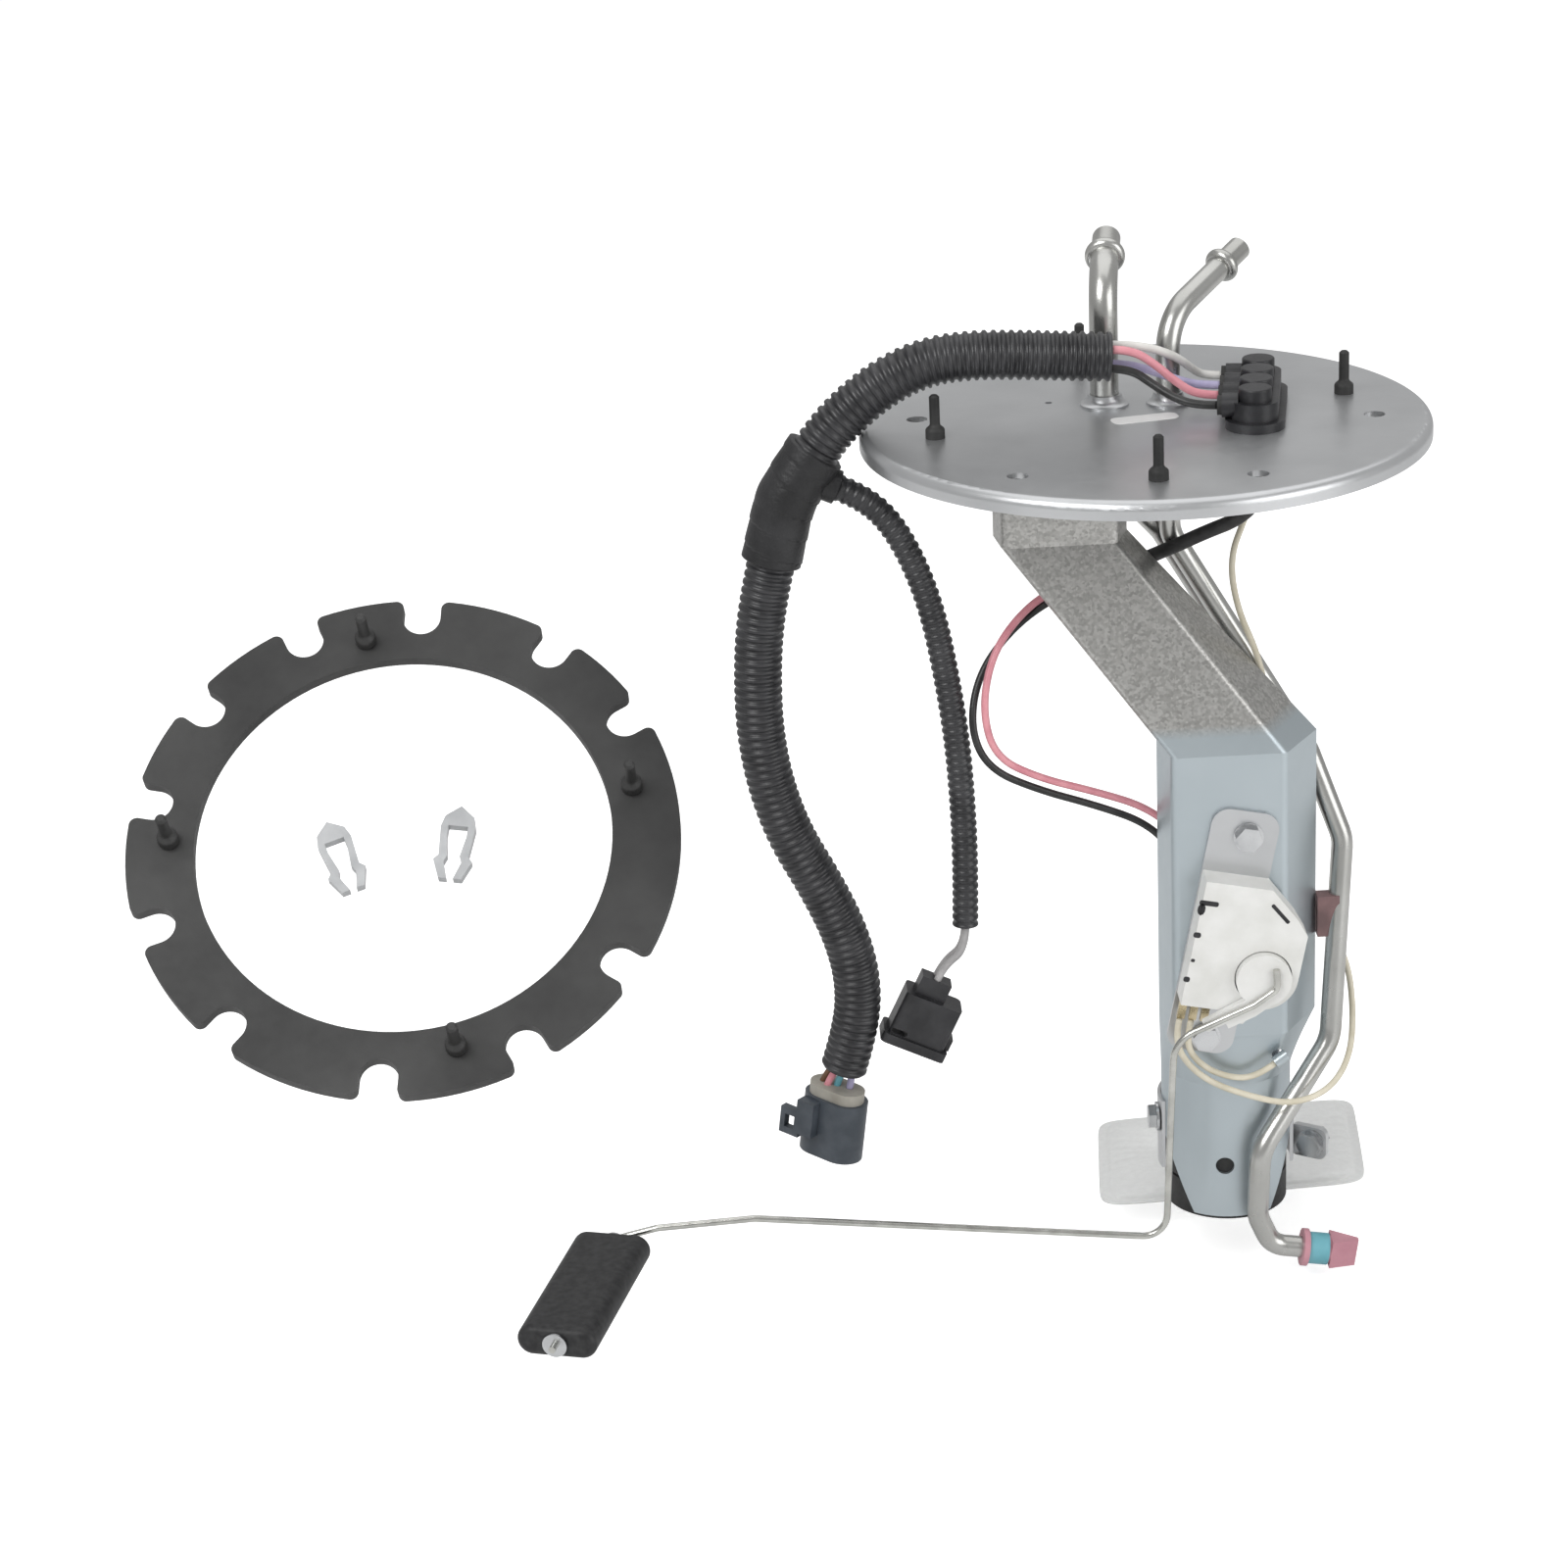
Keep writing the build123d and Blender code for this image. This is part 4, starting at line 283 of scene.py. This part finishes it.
WIRE_PINK = finish_of("wire_pink", (0.66, 0.24, 0.29), (0.78, 0.34, 0.38), (0.32, 0.46), 150)
WIRE_LAVENDER = finish_of("wire_lavender", (0.38, 0.35, 0.54), (0.50, 0.46, 0.66), (0.32, 0.46), 150)
WIRE_WHITE = finish_of("wire_white", (0.66, 0.65, 0.62), (0.78, 0.77, 0.74), (0.32, 0.46), 150)
WIRE_GREY = finish_of("wire_grey", (0.34, 0.33, 0.33), (0.46, 0.45, 0.45), (0.32, 0.46), 150)
WIRE_CREAM = finish_of("wire_cream", (0.62, 0.57, 0.44), (0.74, 0.69, 0.56), (0.32, 0.46), 150)
LABEL = finish_of("label", (0.80, 0.80, 0.79), (0.88, 0.88, 0.87), (0.4, 0.55), 120, 0.3, 0.05)


SPANGLE_SCALE = 1100
SPANGLE_SHADES = ((0.36, 0.355, 0.34, 1), (0.56, 0.555, 0.535, 1))
LOWER_BEND = (-0.104, -0.100)  # metres: the spangle fades out between these heights


def make_sheet():
    """Zinc coated sheet: fine crystals, each with its own shade, on the leaning part, and plain blue grey below.

    The share of the leaning part's look is 1 above the lower bend and 0 under it, by height.
    """
    paint = finish_of("zinc_sheet", (0.47, 0.53, 0.56), (0.53, 0.59, 0.62), (0.34, 0.44), 20, 0.2, 0.05, Metallic=0.8)
    nodes, link = paint.node_tree.nodes, paint.node_tree.links.new
    shader = nodes["Principled BSDF"]
    stained = shader.inputs["Base Color"].links[0].from_socket
    place = nodes.new("ShaderNodeTexCoord")
    crystals = nodes.new("ShaderNodeTexVoronoi")
    crystals.inputs["Scale"].default_value = SPANGLE_SCALE
    one = nodes.new("ShaderNodeSeparateColor")
    spangle = nodes.new("ShaderNodeMix")
    spangle.data_type = "RGBA"
    spangle.inputs["A"].default_value, spangle.inputs["B"].default_value = SPANGLE_SHADES
    split = nodes.new("ShaderNodeSeparateXYZ")
    above = nodes.new("ShaderNodeMapRange")
    above.inputs["From Min"].default_value, above.inputs["From Max"].default_value = LOWER_BEND
    both = nodes.new("ShaderNodeMix")
    both.data_type = "RGBA"
    link(place.outputs["Object"], crystals.inputs["Vector"])
    link(place.outputs["Object"], split.inputs[0])
    link(split.outputs["Z"], above.inputs["Value"])
    link(crystals.outputs["Color"], one.inputs[0])
    link(one.outputs[0], spangle.inputs["Factor"])
    link(above.outputs["Result"], both.inputs["Factor"])
    link(stained, both.inputs["A"])
    link(spangle.outputs["Result"], both.inputs["B"])
    link(both.outputs["Result"], shader.inputs["Base Color"])
    return paint


SHEET = make_sheet()

PAINTS = {
    "zinc": ZINC, "zinc_bright": BRIGHT, "tube_steel": TUBE, "can_steel": CAN, "seal_rubber": RUBBER,
    "grey_rubber": GREY_RUBBER, "brown_rubber": BROWN_RUBBER, "hose_rubber": HOSE, "pale_plastic": PALE,
    "black_plastic": BLACK, "slate_plastic": SLATE, "white_plastic": WHITE, "rose_plastic": ROSE,
    "teal_plastic": TEAL, "brown_plastic": BROWN, "contact": CONTACT, "cast_aluminium": ALLOY, "iron": IRON,
    "carbon": CARBON, "card": CARD, "float_foam": FOAM, "conduit": CONDUIT, "tape": TAPE,
    "wire_steel": WIRE_STEEL, "mesh": MESH, "wire_black": WIRE_BLACK, "wire_pink": WIRE_PINK,
    "wire_lavender": WIRE_LAVENDER, "wire_white": WIRE_WHITE, "wire_grey": WIRE_GREY, "wire_cream": WIRE_CREAM,
}
for entry in frame["record"]["subparts"]:
    node = frame["nodes"][entry["node"]]
    node.data.materials.clear()
    node.data.materials.append(PAINTS[entry["material_slot"]])
SPECIAL = (
    ("flange_plate", PLATE), ("line_clips", CLIP), ("loose_gasket", OLD_RUBBER), ("hanger_bracket", SHEET),
    ("clamp_strap", PLATE), ("sender_plate", PLATE),
)
for name, paint in SPECIAL:
    frame["nodes"][name].data.materials[0] = paint

# The crimp at the inner sender lead's end is bare metal, and the rest of its node black
CRIMP_MIDDLE = np.array([0.040, -0.0266, -0.2236])
CRIMP_REACH = 0.009
crimp = frame["nodes"]["lead_plugs"].data
middles = np.empty(3 * len(crimp.polygons))
crimp.polygons.foreach_get("center", middles)
near = np.linalg.norm(middles.reshape(-1, 3) - CRIMP_MIDDLE, axis=1) < CRIMP_REACH
crimp.materials.append(SHEET)
crimp.polygons.foreach_set("material_index", near.astype(np.int32))


# ---- harness ----

CONDUIT_STEP = 2.9 * MM
POINTS_PER_RIB = 8
MAIN_RADIUS, BRANCH_RADIUS = 8.2 * MM, 4.55 * MM
GROOVE = 0.9 * MM
RIB_STEEPNESS = 1.1
WIRE_STEP = 0.8 * MM
WIRE_RADIUS, SLEEVE_RADIUS, LEAD_RADIUS, THIN_RADIUS = 1.4 * MM, 2.4 * MM, 1.3 * MM, 1.1 * MM


def ribbed(name, route, radius, node, **facts):
    """A corrugated conduit, its ribs and grooves flat.

    At length s the rib's share is 0.5 + 1.1 sin(2 pi s / pitch), cut off at 0 and 1, and the radius is the
    outer one less the groove's depth times what is left of 1. The groove is 0.9 mm deep on the main conduit,
    and as much shallower on the branch as the branch is thinner.
    """
    points, places = even_steps(centreline(name, route), CONDUIT_STEP / POINTS_PER_RIB)
    wave = np.sin(2 * np.pi * places / CONDUIT_STEP)
    crest = np.clip(0.5 + RIB_STEEPNESS * wave, 0, 1)
    piece = tube(name, points, radius - GROOVE * (1 - crest) * radius / MAIN_RADIUS, CONDUIT, around=36)
    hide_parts(node)
    return piece


def insulated(name, route, radius, paint, node, slot, **facts):
    """A wire: a smooth tube about its soft line."""
    points, _ = even_steps(centreline(name, route), WIRE_STEP)
    piece = tube(name, points, radius, paint, around=16)
    if node:
        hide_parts(node)
    return piece


UPPER = (
    (-10.7, 0, 22.9), (-24.5, 0, 23.9), (-40.5, 0, 25.1), (-56.6, 0, 25.9), (-71, 0, 24.4),
    (-84.1, 0, 18.8), (-95.7, 0, 10.4), (-104.8, 0, 1.2), (-108.898, 0, -4.72),
)
LOWER = (
    (-122.5, 0, -32), (-126.5, 0, -47.3), (-130, 0, -64.5), (-131.5, 0, -81.9), (-131.7, 0, -101.4),
    (-129.1, 0, -121.2), (-123.3, 0, -140.4), (-114, 0, -158.5), (-105.9, 0, -177.5),
    (-101.9, 0, -196.4), (-103.4, 0, -214.5), (-108.6, 0, -230.4),
)
BRANCH = (
    (-101.9, 0, -16.9), (-94.6, 0, -20.2), (-85.4, 0, -28.6), (-77.5, 0, -43.7), (-71.6, 0, -62.4),
    (-67.7, 0, -85.3), (-64.8, 0, -109), (-63.6, 0, -132.5), (-63.3, 0, -155.5), (-64, 0, -177),
)
BRANCH_LEAD = ((-64.03, -177), (-64.35, -186), (-71.9, -191.6), (-74.5, -197))
WIRES = {
    "wire_black": (
        (22.17, -15.98, 9.3), (15.302, -14.837, 9.3), (8.5, -11.5, 11.3), (2.2, -6.6, 14.8), (-4.4, -3.2, 19.23),
        (-10.93, -3.2, 19.7),
    ),
    "wire_pink": (
        (24.15, -4.15, 9.3), (17.283, -3.002, 9.3), (10.3, -2.5, 14), (3.3, -2.9, 20.6), (-3.9, -3.2, 25.63),
        (-10.47, -3.2, 26.1),
    ),
    "wire_lavender": (
        (26.13, 7.69, 9.3), (19.264, 8.834, 9.3), (12.4, 6.4, 12), (4.3, 4, 15.9), (-4.4, 3.2, 19.23),
        (-10.93, 3.2, 19.7),
    ),
    "wire_white": (
        (28.11, 19.53, 9.3), (22.191, 20.51, 9.3), (17.8, 17.2, 12.8), (14.9, 11.5, 16.5), (10.5, 6.5, 20.5),
        (3.5, 3.9, 24), (-3.9, 3.2, 25.63), (-10.47, 3.2, 26.1),
    ),
}
SLEEVE = (
    (35.2, -12.1, -19), (35.2, -12.1, -26), (29.5, -7, -33), (20.5, 2, -39.5), (11, 7.2, -45.5),
    (2, 13.6, -51.3), (-8, 14.2, -55.5), (-19, 14, -58.3),
)
PINK_LEAD = (
    (-19.35, 14, -56.9), (-31.5, 14, -61.5), (-43.5, 9, -69.5), (-52.5, 2, -80.5), (-56.2, -4, -97),
    (-52.4, -4.5, -113.8), (-37.6, -3, -122.8), (-17.7, -0.5, -130), (-1, 1.8, -137.2), (10, 1, -146.5),
    (17.5, -4.5, -157), (20.4, -9.3, -167.5), (20.4, -9.3, -177.5),
)
BLACK_LEAD = (
    (-18.65, 14, -59.7), (-31, 14, -64.4), (-46, 10.5, -74.5), (-57.3, 3, -87.5), (-60.5, -4.5, -103.7),
    (-54.5, -4.5, -118.2), (-37.7, -3, -127.2), (-17.8, -0.5, -135), (-1.1, 1.8, -143), (8, -1, -152),
    (14, -6, -161), (16.6, -9.3, -169), (16.6, -9.3, -177.5),
)
GROUND_LEAD = (
    (39.2, 11.6, -19), (39.2, 11.6, -26.5), (34.5, 7.5, -36.5), (28.5, 3, -49.5), (30.8, 2, -66.8),
    (38, 4, -84), (41, 4, -98.5), (41.3, 1.5, -107.5), (40.5, -6, -113), (39.3, -14.5, -118.5),
    (39, -19.6, -125.8), (39, -20.4, -132.5),
)
OUTER_LEAD = (
    (6.4, -32, -202.5), (5.2, -32, -208.5), (7, -32, -217), (15.8, -31, -227), (30.1, -30, -234),
    (45, -32.5, -237), (59, -27.5, -234.5), (68, -15, -228), (70.6, -4, -215), (69.5, 2, -200),
    (63, 5.5, -187), (53, 6.5, -177.5), (44.5, 2, -168.5), (40.5, -7, -160.5), (39.2, -16, -153),
    (39, -20, -145.5), (39, -20.4, -138.5),
)
INNER_LEAD = (
    (10.35, -32, -203.3), (9.1, -31.4, -209.5), (10.4, -30, -217), (17, -28.8, -224.2), (27, -28.2, -228.2),
    (34.5, -27.6, -227.2), (40, -26.6, -223.6),
)

MAIN_LEADS = (
    ("brown_lead", "brown_plastic", (-5.5, 3.2), (-2.2, 1.4)),
    ("green_lead", "teal_plastic", (-0.5, 0.4), (0.2, -1.6)),
    ("pink_lead", "wire_pink", (-4.0, 0.2), (-1.2, 0.2)),
    ("blue_lead", "wire_lavender", (4.0, -1.5), (2.0, -0.8)),
)
MAIN_LEAD_RADIUS = 1.25 * MM
SEAL_TOP = (-110.8, 0, -236.8)
SEAL_DEPTH = 0.6
CONDUIT_MOUTH = (-108.0, 0, -228.6)
BOW_OUT, BOW_UP = 0.25, 0.5  # a lead bows out by this share of its end's place, and up by so many millimetres
main_leads = []
for name, slot, (out_x, out_y), (in_x, in_y) in MAIN_LEADS:
    start = (CONDUIT_MOUTH[0] + in_x, in_y, CONDUIT_MOUTH[2])
    finish = (SEAL_TOP[0] + out_x, out_y, SEAL_TOP[2] - SEAL_DEPTH)
    bow = (BOW_OUT * out_x, BOW_OUT * out_y, BOW_UP)
    middle = tuple((a + b) / 2 + c for a, b, c in zip(start, finish, bow))
    main_leads.append(insulated(name, (start, middle, finish), MAIN_LEAD_RADIUS, PAINTS[slot], None, slot))
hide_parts("main_leads")

TEE_BEND = (-119.294, 0, -19.735)
WRAP_PITCH, WRAP_STEP, WRAP_SPOKES, WRAP_MARGIN = 8.0, 0.5, 48, 6
WRAP_RADIUS, WRAP_RISE, WRAP_CURVE = 9.95, 0.4, 0.6
EDGE_DEPTH, EDGE_PLACE, EDGE_WIDTH = 0.25, 0.02, 0.03


def make_tape_wrap():
    """Tape wound about the tee's straight run, from 6 mm past one end of the line to 6 mm short of the other.

    At share s of a lap the radius is 9.95 mm + 0.4 mm s^0.6, less a groove of 0.25 mm exp(-((s - 0.02) / 0.03)^2)
    at the lap's edge.
    """
    route = (UPPER[-2], UPPER[-1], TEE_BEND, LOWER[0], LOWER[1])
    line, places = even_steps(centreline("wrap", route), WRAP_STEP * MM)
    turns = np.linspace(0, 1, WRAP_SPOKES, endpoint=False)[None]
    lap = np.mod(places[:, None] / (WRAP_PITCH * MM) + turns, 1)
    edge = EDGE_DEPTH * np.exp(-((lap - EDGE_PLACE) / EDGE_WIDTH) ** 2)
    radius = (WRAP_RADIUS + WRAP_RISE * lap**WRAP_CURVE - edge) * MM
    covered = (places > WRAP_MARGIN * MM) & (places < places[-1] - WRAP_MARGIN * MM)
    return tube("tape_wrap", line[covered], radius[covered], TAPE, around=WRAP_SPOKES)


tape_wrap = make_tape_wrap()

ribbed(
    "upper_conduit_ribs", UPPER, MAIN_RADIUS, "upper_conduit", far_end="fitting", lay="hanging",
    with_pieces=[frame["nodes"]["tee"], tape_wrap],
)
ribbed(
    "lower_conduit_ribs", LOWER, MAIN_RADIUS, "lower_conduit", far_end="connector", lay="hanging",
    with_pieces=[frame["nodes"]["main_connector"], frame["nodes"]["main_seal"], *main_leads],
)
branch_leads = [
    insulated(f"branch_lead_{n}", [(x, y, z) for x, z in BRANCH_LEAD], LEAD_RADIUS, WIRE_GREY, None, "wire_grey")
    for n, y in enumerate((-2.1, 2.1))
]
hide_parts("branch_leads")
ribbed(
    "branch_conduit_ribs", BRANCH, BRANCH_RADIUS, "branch_conduit", far_end="connector", lay="hanging",
    with_pieces=[frame["nodes"]["branch_connector"], *branch_leads],
)
for node, route in WIRES.items():
    insulated(node + "_skin", route, WIRE_RADIUS, PAINTS[node], node, node, far_end="object")
INNER_LEADS = (
    ("lead_sleeve_skin", SLEEVE, SLEEVE_RADIUS, "lead_sleeve", "hose_rubber"),
    ("pump_lead_pink_skin", PINK_LEAD, LEAD_RADIUS, "pump_lead_pink", "wire_pink"),
    ("pump_lead_black_skin", BLACK_LEAD, LEAD_RADIUS, "pump_lead_black", "wire_black"),
    ("ground_lead_skin", GROUND_LEAD, THIN_RADIUS, "ground_lead", "wire_cream"),
    ("sender_lead_outer_skin", OUTER_LEAD, THIN_RADIUS, "sender_leads", "wire_cream"),
    ("sender_lead_inner_skin", INNER_LEAD, THIN_RADIUS, None, "wire_cream"),
)
for name, route, radius, node, slot in INNER_LEADS:
    insulated(name, route, radius, PAINTS[slot], node, slot, far_end="object")


# ---- strainer ----

SOCK_LONG, SOCK_WIDE, SOCK_THICK = 96.0, 67.0, 6.2
SOCK_MIDDLE = (32.5, 39.6, -291.2)
SOCK_ALONG = np.array([0.9985, -0.026, 0.047])
SOCK_BACK = np.array([0.085, 0.9964, 0.0])
SEAM, SEAM_HALF = 0.07, 0.25
CORNER_POWER, SPOKE_POWER = 11.0, 1.6
SPOKES, STEPS = 288, 97
SPOT, SPOT_REACH, SPOT_DEPTH = (-26, 4), 9, 0.55
PUCKERS, PUCKER_HEIGHT = 34, 0.5
RIPPLE_HEIGHT, RIPPLE_LENGTH = 0.12, 5
DROOP_ALONG, DROOP_BACK = (0.6, 24), (0.4, 13)  # each a height and a length, in millimetres


def strainer_sock():
    """A pillow of two mesh sheets, welded along a flat edge and at one spot.

    A spoke at angle t about the middle ends at (|cos t|^11 + |sin t|^11)^(-1/11) of half the length and width,
    so the outline is an oblong with round corners. The line goes out over the top and comes back beneath:
    with v from -1 to 1, it has come to share q = 1 - |v|^1.6 of the spoke. With
    r = (1 - (q / 0.93)^4)^0.5, which is 0 in the seam, x along and y back from the middle, and d the distance to
    the weld spot, all in millimetres, each sheet is
    0.25 mm + 0.5 thickness r (1 - 0.55 exp(-(d / 9)^2)) + 0.5 r q^6 sin(34 t) + 0.12 r sin(x / 5) from the
    middle surface, which itself lies at q (0.6 sin(x / 24) + 0.4 cos(y / 13)).
    """
    turn = np.linspace(0, 2 * np.pi, SPOKES, endpoint=False)[None]
    down = np.linspace(-1, 1, STEPS)[1:-1, None]
    share = 1 - np.abs(down) ** SPOKE_POWER
    corner = np.abs(np.cos(turn)) ** CORNER_POWER + np.abs(np.sin(turn)) ** CORNER_POWER
    reach = corner ** (-1 / CORNER_POWER)
    across = share * reach * np.cos(turn) * SOCK_LONG / 2
    deep = share * reach * np.sin(turn) * SOCK_WIDE / 2
    inside = np.clip(1 - (share / (1 - SEAM)) ** 4, 0, 1) ** 0.5
    spot = np.exp(-((across - SPOT[0]) ** 2 + (deep - SPOT[1]) ** 2) / SPOT_REACH**2)
    pillow_half = 0.5 * SOCK_THICK * inside * (1 - SPOT_DEPTH * spot)
    pucker = PUCKER_HEIGHT * share**6 * np.sin(PUCKERS * turn) * inside
    ripple = RIPPLE_HEIGHT * np.sin(across / RIPPLE_LENGTH) * inside
    side = np.where(down < 0, 1.0, -1.0)
    droop = DROOP_ALONG[0] * np.sin(across / DROOP_ALONG[1]) + DROOP_BACK[0] * np.cos(deep / DROOP_BACK[1])
    height = side * (SEAM_HALF + pillow_half + pucker + ripple) + droop * share
    flat = across[..., None] * SOCK_ALONG + deep[..., None] * SOCK_BACK
    points = flat + height[..., None] * np.array([0, 0, 1]) + np.array(SOCK_MIDDLE)
    return grid_piece("strainer_pillow", points * MM, MESH, around=True, ends=True)


pillow = strainer_sock()
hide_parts("strainer_sock")


# ---- label strip and the painted shade in the sender's pockets and slit ----


def plate_piece(name, outline, base, across, up, thick, paint, body="module"):
    """A thin flat piece: its outline, in millimetres along two directions from a base point, and its thickness."""
    across, up, base = (np.array(v, float) for v in (across, up, base))
    outward = np.cross(across, up)
    flat = base + np.array(outline)[:, :1] * across + np.array(outline)[:, 1:] * up
    layers = np.stack([flat, flat + outward * thick])
    piece = grid_piece(name, layers * MM, paint, body, around=True, ends=True)
    piece.data.polygons.foreach_set("use_smooth", np.zeros(len(piece.data.polygons), bool))
    return piece


CORNER_SHARE = 0.35


def rounded(length, width, steps=6):
    """The outline of a strip about its middle, its round corners' radius being a share of its width."""
    corner = CORNER_SHARE * width
    turn = np.linspace(0, np.pi / 2, steps)
    quarter = np.stack([np.cos(turn), np.sin(turn)], axis=-1) * corner
    parts = []
    for n, (sign_x, sign_y) in enumerate(((1, 1), (-1, 1), (-1, -1), (1, -1))):
        cosine, sine = np.cos(n * np.pi / 2), np.sin(n * np.pi / 2)
        spin = np.array([[cosine, -sine], [sine, cosine]])
        parts.append(quarter @ spin.T + [sign_x * (length / 2 - corner), sign_y * (width / 2 - corner)])
    return np.concatenate(parts)


LABEL_LONG, LABEL_WIDE, LABEL_THICK = 22.5, 7.5, 0.15
LABEL_PLACE = (0, -2.2, 2.02)
LABEL_ALONG, LABEL_UP = (0.982, 0.19, 0), (-0.19, 0.982, 0)
plate_piece(
    "label_strip", rounded(LABEL_LONG, LABEL_WIDE), LABEL_PLACE, LABEL_ALONG, LABEL_UP, LABEL_THICK, LABEL
)

# Painted shade on the sender's cover: flat black marks where its pockets and slit are, each one's x and z, its length
# and its width
COVER_Y, MARK_THICK, MARK_STEPS = -35.92, 0.05, 3
COVER_ALONG, COVER_UP = (0.98, 0, -0.198), (0.198, 0, 0.98)
SLIT_ALONG, SLIT_UP = (0.62, 0, -0.785), (0.785, 0, 0.62)
SHADED_POCKETS = (
    (12.2, -169.6, 2.6, 2.0), (10.7, -178.9, 1.4, 1.2), (8.5, -185.8, 2.2, 2.0), (13.7, -160.2, 2.6, 4.4),
    (16.3, -158.2, 6.6, 1.8),
)
SHADED_SLIT = (40.4, -163.4, 9.0, 1.3)
SHADE_MARKS = [(f"cover_pocket_shade_{n}", mark, COVER_ALONG, COVER_UP) for n, mark in enumerate(SHADED_POCKETS)]
SHADE_MARKS.append(("cover_slit_shade", SHADED_SLIT, SLIT_ALONG, SLIT_UP))
# Each thin black plate is painted shade, standing in for the shadow inside a pocket or the slit of the cover
for name, (x, z, wide, tall), along, up in SHADE_MARKS:
    outline = rounded(wide, tall, MARK_STEPS)
    plate_piece(name, outline, (x, COVER_Y, z), along, up, MARK_THICK, BLACK)


# ---- camera and light ----

CAMERA_PLACE = (-0.12443, -1.16694, 0.34149)
CAMERA_DOWN, CAMERA_ROLL = 21.64, -2.9  # degrees
camera = bpy.data.cameras.new("camera")
camera.lens = 84.375
camera.sensor_width = 36
viewer = bpy.data.objects.new("camera", camera)
viewer.location = CAMERA_PLACE
upright = Euler((np.radians(90 - CAMERA_DOWN), 0, 0)).to_matrix()
tilt = upright @ Matrix.Rotation(np.radians(CAMERA_ROLL), 3, "Z")
viewer.rotation_euler = tilt.to_euler()
bpy.context.scene.collection.objects.link(viewer)
bpy.context.scene.camera = viewer


def lamp(name, place, aim, size, watts):
    """A square lamp at a place, facing a point."""
    light = bpy.data.lights.new(name, "AREA")
    light.shape = "SQUARE"
    light.size = size
    light.energy = watts
    holder = bpy.data.objects.new(name, light)
    holder.location = place
    holder.rotation_euler = (Vector(aim) - Vector(place)).to_track_quat("-Z", "Y").to_euler()
    bpy.context.scene.collection.objects.link(holder)


LAMPS = (
    ("key", (-0.9, -1.0, 1.1), (-0.08, 0, -0.12), 0.9, 15),
    ("fill", (1.1, -0.9, 0.3), (-0.05, 0, -0.12), 1.0, 7),
    ("top", (0.1, 0.4, 1.3), (0, 0, -0.1), 1.8, 8),
    ("under", (-0.1, -0.8, -0.9), (-0.05, 0, -0.2), 0.8, 3),
)
for name, place, aim, size, watts in LAMPS:
    lamp(name, place, aim, size, watts)

FLOOR_Z = low_before[2] - 0.004
FLOOR_WIDE = 16.0
FLOOR_LIFT = 0.62  # the floor's own glow, which only the camera sees
FLOOR_COLOUR, PURE_WHITE = (0.86, 0.86, 0.86, 1), (1, 1, 1, 1)


def make_floor():
    """A wide plain sheet just under the object: near white to the eye, and it keeps the object's shadow."""
    paint = bpy.data.materials.new("floor")
    paint.use_nodes = True
    nodes, link = paint.node_tree.nodes, paint.node_tree.links.new
    shader = nodes["Principled BSDF"]
    shader.inputs["Base Color"].default_value = FLOOR_COLOUR
    shader.inputs["Roughness"].default_value = 0.9
    shader.inputs["Specular IOR Level"].default_value = 0.1
    shader.inputs["Emission Color"].default_value = PURE_WHITE
    seen = nodes.new("ShaderNodeLightPath")
    glow = nodes.new("ShaderNodeMapRange")
    glow.inputs["To Max"].default_value = FLOOR_LIFT
    link(seen.outputs["Is Camera Ray"], glow.inputs["Value"])
    link(glow.outputs["Result"], shader.inputs["Emission Strength"])
    half = FLOOR_WIDE / 2
    mesh = bpy.data.meshes.new("floor")
    corners = [(-half, -half, FLOOR_Z), (half, -half, FLOOR_Z), (half, half, FLOOR_Z), (-half, half, FLOOR_Z)]
    mesh.from_pydata(corners, [], [(0, 1, 2, 3)])
    mesh.materials.append(paint)
    floor = bpy.data.objects.new("floor", mesh)
    bpy.context.scene.collection.objects.link(floor)


make_floor()

# The world lights the object with the first strength, and is seen, also through clear plastic, with the second
WORLD_LIGHT, WORLD_SEEN = 0.45, 1.0
world = bpy.data.worlds.new("plain_white")
world.use_nodes = True
bpy.context.scene.world = world
nodes, link = world.node_tree.nodes, world.node_tree.links.new
seen = nodes.new("ShaderNodeLightPath")
either = nodes.new("ShaderNodeMath")
either.operation = "MAXIMUM"
link(seen.outputs["Is Camera Ray"], either.inputs[0])
link(seen.outputs["Is Transmission Ray"], either.inputs[1])
strength = nodes.new("ShaderNodeMapRange")
strength.inputs["To Min"].default_value = WORLD_LIGHT
strength.inputs["To Max"].default_value = WORLD_SEEN
link(either.outputs[0], strength.inputs["Value"])
nodes["Background"].inputs["Color"].default_value = PURE_WHITE
link(strength.outputs["Result"], nodes["Background"].inputs["Strength"])

bpy.context.scene.view_settings.view_transform = "Standard"
